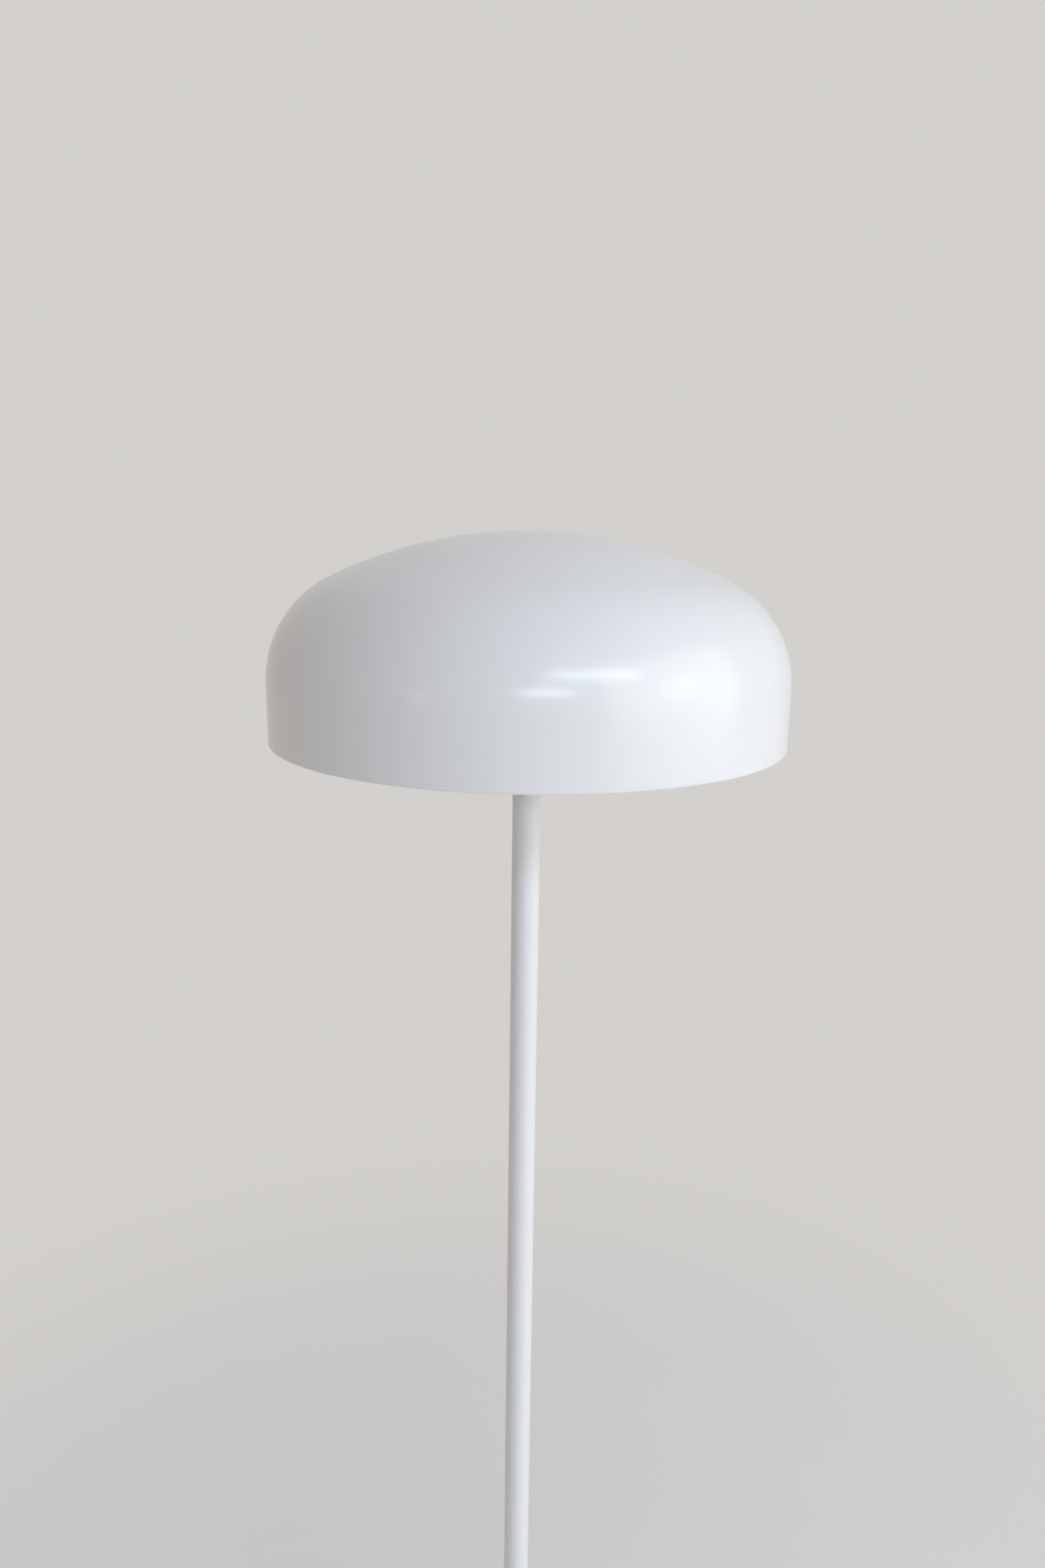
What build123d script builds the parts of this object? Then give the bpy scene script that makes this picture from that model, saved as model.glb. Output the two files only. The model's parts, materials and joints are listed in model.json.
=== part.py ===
"""Mushroom floor lamp: a spun dome shade on a slim two-piece stem, over a round weighted base.

The lamp stands on four rubber feet at Z = 0, with the stem's axis on Z. Its front is -Y: the mains
lead comes in through the back of the base, at +Y, and the foot switch is on its right, at +X.
Every height is stacked up from the floor, so a piece rests on the one below it.
All sizes are millimetres.
"""

import os
from math import acos, degrees, sin

from build123d import *

# ---------------------------------------------------------------------------
# Driving dimensions
# ---------------------------------------------------------------------------

# Fits between pieces
press_gap = 0.02  # an insert pressed into a tube
seat_gap = 0.05  # formed sheet against the wall that it is fixed to
slip_gap = 0.3  # a ring or plate that drops round or into its neighbour
thread_gap = 0.25  # between the flanks of two screwed pieces

# Shade: a straight wall, a shoulder arc and a shallow crown arc
shade_radius = 220.0
shade_wall_height = 50.0
shoulder_radius = 95.0
crown_radius = 378.0
shade_thickness = 1.0
hem_height = 6.0
hem_thickness = 2.2

# Spider that carries the shade, a three-armed pressing
arm_count = 3
arm_width = 16.0
arm_flange = 5.0
spider_thickness = 1.5
spider_ring_width = 11.0
spider_above_rim = 39.0
tab_height = 20.0

# Weld studs and nuts that fix the spider's tabs to the shade wall
stud_radius = 2.0
stud_length = 9.0
stud_below_spider = 11.0
stud_nut_flats = 7.0
stud_nut_thickness = 3.2

# Stem: two tubes on threaded inserts
stem_radius = 12.5
tube_wall = 1.2
lower_tube_length = 649.0
upper_tube_length = 647.0
insert_length = 24.0
stem_cap_thickness = 2.0
tube_end_bevel = 0.4

# Hollow lamp thread, M10 x 1, that joins the stem's pieces and lets the lead through
nipple_radius = 5.0
nipple_bore = 3.45
joint_stud_length = 40.0
top_nipple_depth = 14.0
locknut_flats = 14.0
locknut_thickness = 4.0
lock_washer_radius = 8.0
lock_washer_thickness = 1.0
lock_washer_teeth = 12

# Lampholder, E27, with a threaded skirt and two shade rings
holder_neck_radius = 11.0
holder_neck_height = 9.0
holder_cap_height = 24.0
holder_wall = 2.0
holder_entry_depth = 10.0
skirt_radius = 20.0
skirt_thread_depth = 0.9
skirt_height = 33.0
skirt_pitch = 3.0
skirt_turns = 9
skirt_plain_height = 3.0
ring_radius = 28.0
ring_thickness = 8.0
ring_scallop_radius = 1.3
ring_scallops = 24
ring_seat_height = 30.0
core_thickness = 11.0
core_sunk = 4.0
core_sleeve_height = 19.0
screw_shell_wall = 0.5
contact_rise = 2.0
contact_width = 6.0
contact_thickness = 0.6
contact_foot_end = 9.0
contact_low_bend = 5.0
contact_high_bend = 2.0
terminal_size = 6.0
terminal_spacing = 16.0
terminal_screw_radius = 1.5
terminal_head_radius = 2.3
terminal_head_height = 1.0

# Bulb, 60 mm globe on an E27 cap
bulb_radius = 30.0
bulb_length = 108.0
bulb_neck_radius = 14.0
bulb_seam_drop = 14.0
diffuser_wall = 1.2
cap_thread_radius = 13.1
cap_thread_depth = 0.9
cap_pitch = 3.63
cap_turns = 4
cap_wall = 0.5
cap_thread_start = 7.0
cap_height = 25.0
cap_shoulder_radius = 11.0
tip_contact_radius = 4.8
tip_contact_height = 2.0
insulator_height = 5.0
board_thickness = 1.6
led_count = 8
led_size = 2.8
led_height = 0.8
led_circle_radius = 15.0

# Base: feet, bottom plate, cast weight and spun cover
foot_height = 2.5
foot_radius = 9.0
foot_circle_radius = 116.0
foot_count = 4
plate_thickness = 1.5
weight_thickness = 18.8
weight_radius = 126.0
cover_radius = 140.0
cover_wall = 1.2
cover_edge_radius = 9.0
cover_floor_gap = 1.5
plate_screw_radius = 2.0
plate_screw_length = 9.0
plate_screw_head_radius = 3.8
plate_screw_head_height = 1.6
plate_screw_circle_radius = 112.0
plate_screw_count = 4
screw_slot_length = 4.2
screw_slot_width = 1.0

# Central bolt that clamps stem, cover and weight together
clamp_web = 4.0
bolt_well_radius = 19.0
load_washer_radius = 15.0
load_washer_thickness = 1.5
bolt_grip_in_stem = 20.0
bolt_end_below_nut = 0.5
foot_collar_radius = 21.0
foot_collar_height = 9.0

# Leads inside the lamp
lead_radius = 2.7
mains_lead_above_plate = 5.5
stem_lead_above_plate = 3.0
lead_bend_radius = 20.0
lead_cross_run = 62.0
channel_width = 9.0
channel_roof_gap = 0.2
wire_radius = 0.9
wire_spacing = 2.6
wire_bend_radius = 2.5
lead_end_in_holder = 13.0

# Gland in the back of the base, and the clamp that holds the lead behind it
gland_bore_radius = 3.2
gland_neck_radius = 4.4
gland_flange_radius = 6.0
gland_flange_thickness = 2.5
gland_barb_radius = 5.2
gland_tail = 7.0
clamp_place = 104.0
clamp_length = 34.0
clamp_width = 10.0
clamp_thickness = 1.4
clamp_screw_spacing = 22.0
clamp_screw_radius = 1.5
clamp_screw_length = 7.0
clamp_screw_head_radius = 2.8
clamp_screw_head_height = 1.2

# Foot switch
switch_offset = 88.0
switch_body_radius = 14.8
switch_body_wall = 1.6
switch_floor_gap = 1.4
switch_flange_radius = 18.0
switch_flange_thickness = 1.5
switch_neck_rise = 2.0
bezel_radius = 18.0
bezel_lip = 2.0
button_radius = 12.2
button_travel = 4.0
button_pressed_rise = 1.0
button_wall = 2.0
button_flange_height = 2.0
button_crown_fillet = 2.5
spring_radius = 7.0
spring_wire_radius = 0.5
spring_turns = 8
switch_pocket_radius = 22.5
switch_terminal_length = 5.5
switch_terminal_width = 7.0
switch_terminal_height = 5.0

# ---------------------------------------------------------------------------
# Worked-out places
# ---------------------------------------------------------------------------

# Base, upwards from the floor
plate_top = foot_height + plate_thickness
weight_top = plate_top + weight_thickness
cover_top = weight_top + cover_wall
well_top = weight_top - clamp_web
nut_bottom = well_top - load_washer_thickness - locknut_thickness
bolt_bottom = nut_bottom - bolt_end_below_nut
inner_radius = cover_radius - cover_wall
mains_lead_height = plate_top + mains_lead_above_plate
stem_lead_height = plate_top + stem_lead_above_plate
riser_bend_radius = bolt_bottom - stem_lead_height
gland_inner_end = inner_radius - gland_tail

# Stem
tube_inner = stem_radius - tube_wall
insert_radius = tube_inner - press_gap
tube_joint = cover_top + lower_tube_length
upper_tube_end = tube_joint + upper_tube_length
stem_top = upper_tube_end + stem_cap_thickness

# Lampholder, upwards from its lock nut
holder_bottom = stem_top + lock_washer_thickness + locknut_thickness
skirt_bottom = holder_bottom + holder_cap_height
skirt_inner = skirt_radius - skirt_thread_depth - holder_wall
core_bottom = skirt_bottom - core_sunk
core_top = core_bottom + core_thickness
core_radius = skirt_inner - press_gap
tip_height = core_top + contact_rise
lower_ring_bottom = holder_bottom + ring_seat_height
spider_bottom = lower_ring_bottom + ring_thickness
spider_top = spider_bottom + spider_thickness

# Shade
rim_height = spider_bottom - spider_above_rim
shade_inner = shade_radius - shade_thickness
arc_step = crown_radius - shoulder_radius
crown_angle = acos((shade_radius - shoulder_radius) / arc_step)
crown_centre = shade_wall_height - arc_step * sin(crown_angle)
shade_height = crown_centre + crown_radius
stud_height = spider_bottom - stud_below_spider
tab_face = shade_inner - seat_gap - spider_thickness

# Bulb
globe_centre = bulb_length - bulb_radius
seam_height = globe_centre - bulb_seam_drop
seam_radius = (bulb_radius**2 - bulb_seam_drop**2) ** 0.5
cap_root_radius = cap_thread_radius - cap_thread_depth

# Switch
flange_bottom = weight_top - switch_flange_thickness
neck_top = cover_top + switch_neck_rise
switch_bore = switch_body_radius - switch_body_wall
switch_floor = plate_top + switch_floor_gap
switch_cavity_floor = switch_floor + switch_body_wall
button_hole = button_radius + slip_gap
button_flange_top = neck_top - slip_gap
button_flange_bottom = button_flange_top - button_flange_height
button_flange_radius = switch_bore - slip_gap
button_top = neck_top + bezel_lip + button_pressed_rise + button_travel
button_roof = button_top - button_wall


def section(height=0.0):
    """The XZ plane with its origin on the stem's axis at a height: radius across, height up."""
    return Plane(origin=(0, 0, height), x_dir=(1, 0, 0), z_dir=(0, -1, 0))


def facing_out(angle, distance, height):
    """A plane that looks away from the stem's axis: X across, Y up."""
    outward = Vector(1, 0, 0).rotate(Axis.Z, angle)
    across = Vector(0, 1, 0).rotate(Axis.Z, angle)
    return Plane(origin=outward * distance + Vector(0, 0, height), x_dir=across, z_dir=outward)


def ridges(root, crest, start, pitch, turns):
    """Points, from the bottom up, of a screw thread drawn as rings."""
    points = []
    for turn in range(turns):
        low = start + turn * pitch
        points += [(root, low), (crest, low + 0.3 * pitch)]
        points += [(crest, low + 0.5 * pitch), (root, low + 0.8 * pitch)]
    return points


arm_angles = [arm * 360 / arm_count for arm in range(arm_count)]

# ---------------------------------------------------------------------------
# Shade
# ---------------------------------------------------------------------------

with BuildPart() as shade_shell:
    with BuildSketch(section(rim_height)):
        with BuildLine():
            shoulder_centre = (shade_radius - shoulder_radius, shade_wall_height)
            sweep_out = degrees(crown_angle)
            Line((shade_radius, 0), (shade_radius, shade_wall_height))
            CenterArc(shoulder_centre, shoulder_radius, 0, sweep_out)
            CenterArc((0, crown_centre), crown_radius, sweep_out, 90 - sweep_out)
            Line((0, shade_height), (0, shade_height - shade_thickness))
            CenterArc((0, crown_centre), crown_radius - shade_thickness, sweep_out, 90 - sweep_out)
            CenterArc(shoulder_centre, shoulder_radius - shade_thickness, 0, sweep_out)
            hem_inner = shade_radius - hem_thickness
            Polyline(
                (shade_inner, shade_wall_height),
                (shade_inner, hem_height + hem_thickness),
                (hem_inner, hem_height),
                (hem_inner, 0),
                (shade_radius, 0),
            )
        make_face()
    revolve(axis=Axis.Z)
    fillet(shade_shell.edges().group_by(Axis.Z)[0], 0.4 * hem_thickness)

with BuildPart() as shade_spider:
    plate_ring_radius = skirt_radius + spider_ring_width
    arm_start = plate_ring_radius - 2 * spider_thickness
    with BuildSketch(Plane.XY.offset(spider_bottom)):
        Circle(plate_ring_radius)
    extrude(amount=spider_thickness)
    # Arms: the web, with its two flanges pressed up along the edges
    flange_middle = (arm_width - spider_thickness) / 2
    for angle in arm_angles:
        with BuildSketch(facing_out(angle, arm_start, spider_bottom)):
            with Locations((0, spider_thickness / 2)):
                Rectangle(arm_width, spider_thickness)
        extrude(amount=tab_face - arm_start + spider_thickness / 2)
        with BuildSketch(facing_out(angle, ring_radius + slip_gap, spider_bottom)):
            with Locations((flange_middle, arm_flange / 2), (-flange_middle, arm_flange / 2)):
                Rectangle(spider_thickness, arm_flange)
        extrude(amount=tab_face - ring_radius - slip_gap - spider_thickness)
    with BuildSketch(Plane.XY.offset(spider_bottom)):
        Circle(skirt_radius + slip_gap)
    extrude(amount=arm_flange, mode=Mode.SUBTRACT)
    # Tabs: the arms' ends, turned down flat against the shade wall
    with BuildSketch(Plane.XY.offset(spider_top - tab_height)):
        Circle(shade_inner - seat_gap)
        Circle(tab_face, mode=Mode.SUBTRACT)
        with PolarLocations(tab_face, arm_count):
            Rectangle(2 * arm_width, arm_width, mode=Mode.INTERSECT)
    extrude(amount=tab_height)
    for angle in arm_angles:
        with BuildSketch(facing_out(angle, tab_face - stud_length, stud_height)):
            Circle(stud_radius + slip_gap)
        extrude(amount=2 * stud_length, mode=Mode.SUBTRACT)

with BuildPart() as shade_studs:
    for angle in arm_angles:
        with BuildSketch(facing_out(angle, shade_inner - seat_gap - stud_length, stud_height)):
            Circle(stud_radius)
        extrude(amount=stud_length)

with BuildPart() as shade_nuts:
    for angle in arm_angles:
        inner_face = tab_face - seat_gap - stud_nut_thickness
        with BuildSketch(facing_out(angle, inner_face, stud_height)):
            RegularPolygon(stud_nut_flats / 2, 6, major_radius=False)
            Circle(stud_radius + press_gap, mode=Mode.SUBTRACT)
        extrude(amount=stud_nut_thickness)

# ---------------------------------------------------------------------------
# Lampholder
# ---------------------------------------------------------------------------

screw_bore = nipple_radius + seat_gap
skirt_root = skirt_radius - skirt_thread_depth

with BuildPart() as holder_cap:
    with BuildSketch(section(holder_bottom)):
        cone_top = holder_cap_height - core_sunk - holder_wall / 2
        with BuildLine():
            Polyline(
                (screw_bore, 0),
                (holder_neck_radius, 0),
                (holder_neck_radius, holder_neck_height),
                (skirt_root, cone_top),
                (skirt_root, holder_cap_height),
                (skirt_inner, holder_cap_height),
                (skirt_inner, cone_top),
                (holder_neck_radius - holder_wall, holder_entry_depth),
                (screw_bore, holder_entry_depth),
                close=True,
            )
        make_face()
    revolve(axis=Axis.Z)

with BuildPart() as holder_skirt:
    with BuildSketch(section(skirt_bottom)):
        with BuildLine():
            Polyline(
                (skirt_inner, 0),
                (skirt_root, 0),
                *ridges(skirt_root, skirt_radius, skirt_plain_height, skirt_pitch, skirt_turns),
                (skirt_root, skirt_height),
                (skirt_inner - holder_wall, skirt_height),
                (skirt_inner - holder_wall, skirt_height - holder_wall),
                (skirt_inner, skirt_height - holder_wall),
                close=True,
            )
        make_face()
    revolve(axis=Axis.Z)

shell_root = cap_root_radius + thread_gap
shell_crest = cap_thread_radius + thread_gap
shell_start = contact_rise + cap_thread_start

with BuildPart() as holder_core:
    sleeve_bore = shell_crest + screw_shell_wall + seat_gap
    with BuildSketch(section(core_bottom)):
        with BuildLine():
            Polyline(
                (0, 0),
                (core_radius, 0),
                (core_radius, core_thickness + core_sleeve_height),
                (sleeve_bore, core_thickness + core_sleeve_height),
                (sleeve_bore, core_thickness),
                (0, core_thickness),
                close=True,
            )
        make_face()
    revolve(axis=Axis.Z)

with BuildPart() as screw_shell:
    with BuildSketch(section(core_top)):
        thread_end = shell_start + cap_turns * cap_pitch
        inside = ridges(shell_root, shell_crest, shell_start, cap_pitch, cap_turns)
        with BuildLine():
            Polyline(
                (shell_root, 0),
                *inside,
                (shell_root, thread_end),
                (shell_root + screw_shell_wall, thread_end),
                *[(radius + screw_shell_wall, height) for radius, height in reversed(inside)],
                (shell_root + screw_shell_wall, 0),
                close=True,
            )
        make_face()
    revolve(axis=Axis.Z)

with BuildPart() as centre_contact:
    leaf_top = contact_rise - contact_thickness / 2
    with BuildSketch(section(core_top)):
        with BuildLine():
            FilletPolyline(
                (-contact_foot_end, contact_thickness / 2),
                (-contact_low_bend, contact_thickness / 2),
                (-contact_high_bend, leaf_top),
                (tip_contact_radius, leaf_top),
                radius=contact_thickness,
            )
        trace(line_width=contact_thickness)
    extrude(amount=contact_width / 2, both=True)

with BuildPart() as holder_terminals:
    with BuildSketch(Plane.XY.offset(core_bottom - terminal_size)):
        with GridLocations(terminal_spacing, 0, 2, 1):
            Rectangle(terminal_size, terminal_size)
    extrude(amount=terminal_size)
    for side in (-1, 1):
        with BuildSketch(section(core_bottom - terminal_size / 2)):
            with Locations((side * terminal_spacing / 2, 0)):
                Circle(terminal_screw_radius + press_gap)
        extrude(amount=terminal_size / 2, mode=Mode.SUBTRACT)

with BuildPart() as terminal_screws:
    block_front = section(core_bottom - terminal_size / 2).offset(terminal_size / 2)
    with BuildSketch(block_front):
        with GridLocations(terminal_spacing, 0, 2, 1):
            Circle(terminal_screw_radius)
    extrude(amount=-terminal_size / 2)
    with BuildSketch(block_front):
        with GridLocations(terminal_spacing, 0, 2, 1):
            Circle(terminal_head_radius)
    extrude(amount=terminal_head_height)

with BuildPart() as shade_ring_lower:
    with BuildSketch(Plane.XY.offset(lower_ring_bottom)):
        Circle(ring_radius)
        Circle(skirt_radius + seat_gap, mode=Mode.SUBTRACT)
        with PolarLocations(ring_radius, ring_scallops):
            Circle(ring_scallop_radius, mode=Mode.SUBTRACT)
    extrude(amount=ring_thickness)

with BuildPart() as shade_ring_upper:
    with BuildSketch(Plane.XY.offset(spider_top)):
        Circle(ring_radius)
        Circle(skirt_radius + seat_gap, mode=Mode.SUBTRACT)
        with PolarLocations(ring_radius, ring_scallops):
            Circle(ring_scallop_radius, mode=Mode.SUBTRACT)
    extrude(amount=ring_thickness)

# ---------------------------------------------------------------------------
# Bulb, upwards from its tip contact
# ---------------------------------------------------------------------------

with BuildPart() as bulb_tip:
    with BuildSketch(section(tip_height)):
        with BuildLine():
            Polyline(
                (0, 0),
                (0.7 * tip_contact_radius, 0),
                (tip_contact_radius, tip_contact_height / 2),
                (tip_contact_radius, tip_contact_height),
                (0, tip_contact_height),
                close=True,
            )
        make_face()
    revolve(axis=Axis.Z)

with BuildPart() as bulb_insulator:
    collar = tip_contact_radius + press_gap
    with BuildSketch(section(tip_height)):
        with BuildLine():
            Polyline(
                (0, tip_contact_height),
                (collar, tip_contact_height),
                (collar, 0.7 * tip_contact_height),
                (collar + cap_wall, 0.7 * tip_contact_height),
                (cap_shoulder_radius - cap_wall, insulator_height),
                (0, insulator_height),
                close=True,
            )
        make_face()
    revolve(axis=Axis.Z)

with BuildPart() as bulb_screw_cap:
    thread = ridges(cap_root_radius, cap_thread_radius, cap_thread_start, cap_pitch, cap_turns)
    skirt_start = cap_thread_start + cap_turns * cap_pitch
    mouth_radius = bulb_neck_radius - cap_wall
    with BuildSketch(section(tip_height)):
        with BuildLine():
            Polyline(
                (cap_shoulder_radius / 2, insulator_height),
                (cap_shoulder_radius, insulator_height),
                *thread,
                (cap_root_radius, skirt_start),
                (mouth_radius, skirt_start + 2 * cap_wall),
                (mouth_radius, cap_height),
                (mouth_radius - cap_wall, cap_height),
                (mouth_radius - cap_wall, skirt_start + 2 * cap_wall),
                (cap_root_radius - cap_wall, skirt_start),
                *[(radius - cap_wall, height) for radius, height in reversed(thread)],
                (cap_shoulder_radius - cap_wall, insulator_height + cap_wall),
                (cap_shoulder_radius / 2, insulator_height + cap_wall),
                close=True,
            )
        make_face()
    revolve(axis=Axis.Z)

with BuildPart() as bulb_housing:
    with BuildSketch(section(tip_height)):
        with BuildLine():
            Line((0, cap_height), (bulb_neck_radius, cap_height))
            TangentArc((bulb_neck_radius, cap_height), (seam_radius, seam_height), tangent=(0, 1))
            Polyline((seam_radius, seam_height), (0, seam_height), (0, cap_height))
        make_face()
    revolve(axis=Axis.Z)

with BuildPart() as led_board:
    board_radius = led_circle_radius + 1.5 * led_size
    with BuildSketch(Plane.XY.offset(tip_height + seam_height)):
        Circle(board_radius)
    extrude(amount=board_thickness)

with BuildPart() as led_chips:
    with BuildSketch(Plane.XY.offset(tip_height + seam_height + board_thickness)):
        with PolarLocations(led_circle_radius, led_count):
            Rectangle(led_size, led_size)
    extrude(amount=led_height)

with BuildPart() as bulb_diffuser:
    with BuildSketch(section(tip_height)):
        with BuildLine():
            seam_turn = -degrees(acos(seam_radius / bulb_radius))
            inner_globe = bulb_radius - diffuser_wall
            inner_seam = (inner_globe**2 - bulb_seam_drop**2) ** 0.5
            inner_turn = -degrees(acos(inner_seam / inner_globe))
            CenterArc((0, globe_centre), bulb_radius, seam_turn, 90 - seam_turn)
            Line((0, bulb_length), (0, bulb_length - diffuser_wall))
            CenterArc((0, globe_centre), inner_globe, inner_turn, 90 - inner_turn)
            Line((inner_seam, seam_height), (seam_radius, seam_height))
        make_face()
    revolve(axis=Axis.Z)

# ---------------------------------------------------------------------------
# Stem
# ---------------------------------------------------------------------------

with BuildPart() as lower_tube:
    with BuildSketch(Plane.XY.offset(cover_top)):
        Circle(stem_radius)
        Circle(tube_inner, mode=Mode.SUBTRACT)
    extrude(amount=lower_tube_length)
    top_edges = lower_tube.edges().filter_by(GeomType.CIRCLE).group_by(Axis.Z)[-1]
    chamfer(top_edges.sort_by(SortBy.RADIUS)[-1], tube_end_bevel)

with BuildPart() as upper_tube:
    with BuildSketch(Plane.XY.offset(tube_joint)):
        Circle(stem_radius)
        Circle(tube_inner, mode=Mode.SUBTRACT)
    extrude(amount=upper_tube_length)
    bottom_edges = upper_tube.edges().filter_by(GeomType.CIRCLE).group_by(Axis.Z)[0]
    chamfer(bottom_edges.sort_by(SortBy.RADIUS)[-1], tube_end_bevel)

with BuildPart() as foot_insert:
    with BuildSketch(Plane.XY.offset(cover_top)):
        Circle(insert_radius)
        Circle(screw_bore, mode=Mode.SUBTRACT)
    extrude(amount=insert_length)

with BuildPart() as lower_joint_insert:
    with BuildSketch(Plane.XY.offset(tube_joint - insert_length)):
        Circle(insert_radius)
        Circle(screw_bore, mode=Mode.SUBTRACT)
    extrude(amount=insert_length)

with BuildPart() as upper_joint_insert:
    with BuildSketch(Plane.XY.offset(tube_joint)):
        Circle(insert_radius)
        Circle(screw_bore, mode=Mode.SUBTRACT)
    extrude(amount=insert_length)

with BuildPart() as joint_stud:
    with BuildSketch(Plane.XY.offset(tube_joint - joint_stud_length / 2)):
        Circle(nipple_radius)
        Circle(nipple_bore, mode=Mode.SUBTRACT)
    extrude(amount=joint_stud_length)

with BuildPart() as top_insert:
    with BuildSketch(Plane.XY.offset(upper_tube_end - insert_length)):
        Circle(insert_radius)
    extrude(amount=insert_length)
    with BuildSketch(Plane.XY.offset(upper_tube_end)):
        Circle(stem_radius)
    extrude(amount=stem_cap_thickness)
    chamfer(top_insert.edges().group_by(Axis.Z)[-1], tube_end_bevel)
    with BuildSketch(Plane.XY.offset(upper_tube_end - insert_length)):
        Circle(screw_bore)
    extrude(amount=insert_length + stem_cap_thickness, mode=Mode.SUBTRACT)

with BuildPart() as top_nipple:
    nipple_end = holder_bottom + holder_entry_depth - thread_gap
    with BuildSketch(Plane.XY.offset(stem_top - top_nipple_depth)):
        Circle(nipple_radius)
        Circle(nipple_bore, mode=Mode.SUBTRACT)
    extrude(amount=nipple_end - stem_top + top_nipple_depth)

with BuildPart() as lock_washer:
    with BuildSketch(Plane.XY.offset(stem_top)):
        Circle(lock_washer_radius)
        Circle(screw_bore, mode=Mode.SUBTRACT)
        with PolarLocations(lock_washer_radius, lock_washer_teeth):
            Rectangle(2 * lock_washer_thickness, lock_washer_thickness, mode=Mode.SUBTRACT)
    extrude(amount=lock_washer_thickness)

with BuildPart() as lock_nut:
    with BuildSketch(Plane.XY.offset(stem_top + lock_washer_thickness)):
        RegularPolygon(locknut_flats / 2, 6, major_radius=False)
        Circle(screw_bore, mode=Mode.SUBTRACT)
    extrude(amount=locknut_thickness)

with BuildPart() as foot_collar:
    with BuildSketch(Plane.XY.offset(cover_top)):
        Circle(foot_collar_radius)
        Circle(stem_radius + slip_gap / 2, mode=Mode.SUBTRACT)
    extrude(amount=foot_collar_height)
    top_edges = foot_collar.edges().filter_by(GeomType.CIRCLE).group_by(Axis.Z)[-1]
    collar_wall = foot_collar_radius - stem_radius
    fillet(top_edges.sort_by(SortBy.RADIUS)[-1], min(0.6 * collar_wall, 0.6 * foot_collar_height))

# ---------------------------------------------------------------------------
# Leads inside the lamp
# ---------------------------------------------------------------------------

terminal_reach = switch_body_radius + switch_terminal_length
mains_lead_route = [
    (0, gland_inner_end),
    (0, lead_cross_run),
    (switch_offset, lead_cross_run),
    (switch_offset, terminal_reach),
]

with BuildPart() as mains_lead:
    with BuildLine() as mains_path:
        FilletPolyline(*[(x, y, mains_lead_height) for x, y in mains_lead_route], radius=lead_bend_radius)
    with BuildSketch(Plane(origin=mains_path.line @ 0, z_dir=mains_path.line % 0)):
        Circle(lead_radius)
    sweep(path=mains_path.line)

with BuildPart() as stem_lead:
    with BuildLine() as stem_path:
        FilletPolyline(
            (switch_offset - terminal_reach, 0, stem_lead_height),
            (0, 0, stem_lead_height),
            (0, 0, holder_bottom + lead_end_in_holder),
            radius=riser_bend_radius,
        )
    with BuildSketch(Plane(origin=stem_path.line @ 0, z_dir=stem_path.line % 0)):
        Circle(lead_radius)
    sweep(path=stem_path.line)

with BuildPart() as core_wires:
    wire_start = holder_bottom + lead_end_in_holder
    wire_height = core_bottom - terminal_size / 2
    terminal_face = (terminal_spacing - terminal_size) / 2
    for side in (-1, 1):
        with BuildLine() as wire_path:
            FilletPolyline(
                (side * wire_spacing / 2, 0, wire_start),
                (side * wire_spacing / 2, 0, wire_height),
                (side * terminal_face, 0, wire_height),
                radius=wire_bend_radius,
            )
        with BuildSketch(Plane(origin=wire_path.line @ 0, z_dir=wire_path.line % 0)):
            Circle(wire_radius)
        sweep(path=wire_path.line)

# ---------------------------------------------------------------------------
# Base
# ---------------------------------------------------------------------------

between_feet = 180 / plate_screw_count
screw_places = PolarLocations(plate_screw_circle_radius, plate_screw_count, start_angle=between_feet)

with BuildPart() as base_cover:
    with BuildSketch(section()):
        with BuildLine():
            edge_centre = (cover_radius - cover_edge_radius, cover_top - cover_edge_radius)
            Line((cover_radius, cover_floor_gap), (cover_radius, cover_top - cover_edge_radius))
            CenterArc(edge_centre, cover_edge_radius, 0, 90)
            Polyline(
                (edge_centre[0], cover_top),
                (0, cover_top),
                (0, weight_top),
                (edge_centre[0], weight_top),
            )
            CenterArc(edge_centre, cover_edge_radius - cover_wall, 0, 90)
            Polyline(
                (inner_radius, cover_top - cover_edge_radius),
                (inner_radius, cover_floor_gap),
                (cover_radius, cover_floor_gap),
            )
        make_face()
    revolve(axis=Axis.Z)
    with BuildSketch(Plane.XY.offset(weight_top)):
        Circle(nipple_radius + slip_gap)
        with Locations((switch_offset, 0)):
            Circle(switch_body_radius + slip_gap)
    extrude(amount=cover_wall, mode=Mode.SUBTRACT)
    with BuildSketch(facing_out(90, inner_radius - cover_wall, mains_lead_height)):
        Circle(gland_neck_radius + seat_gap)
    extrude(amount=3 * cover_wall, mode=Mode.SUBTRACT)

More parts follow.
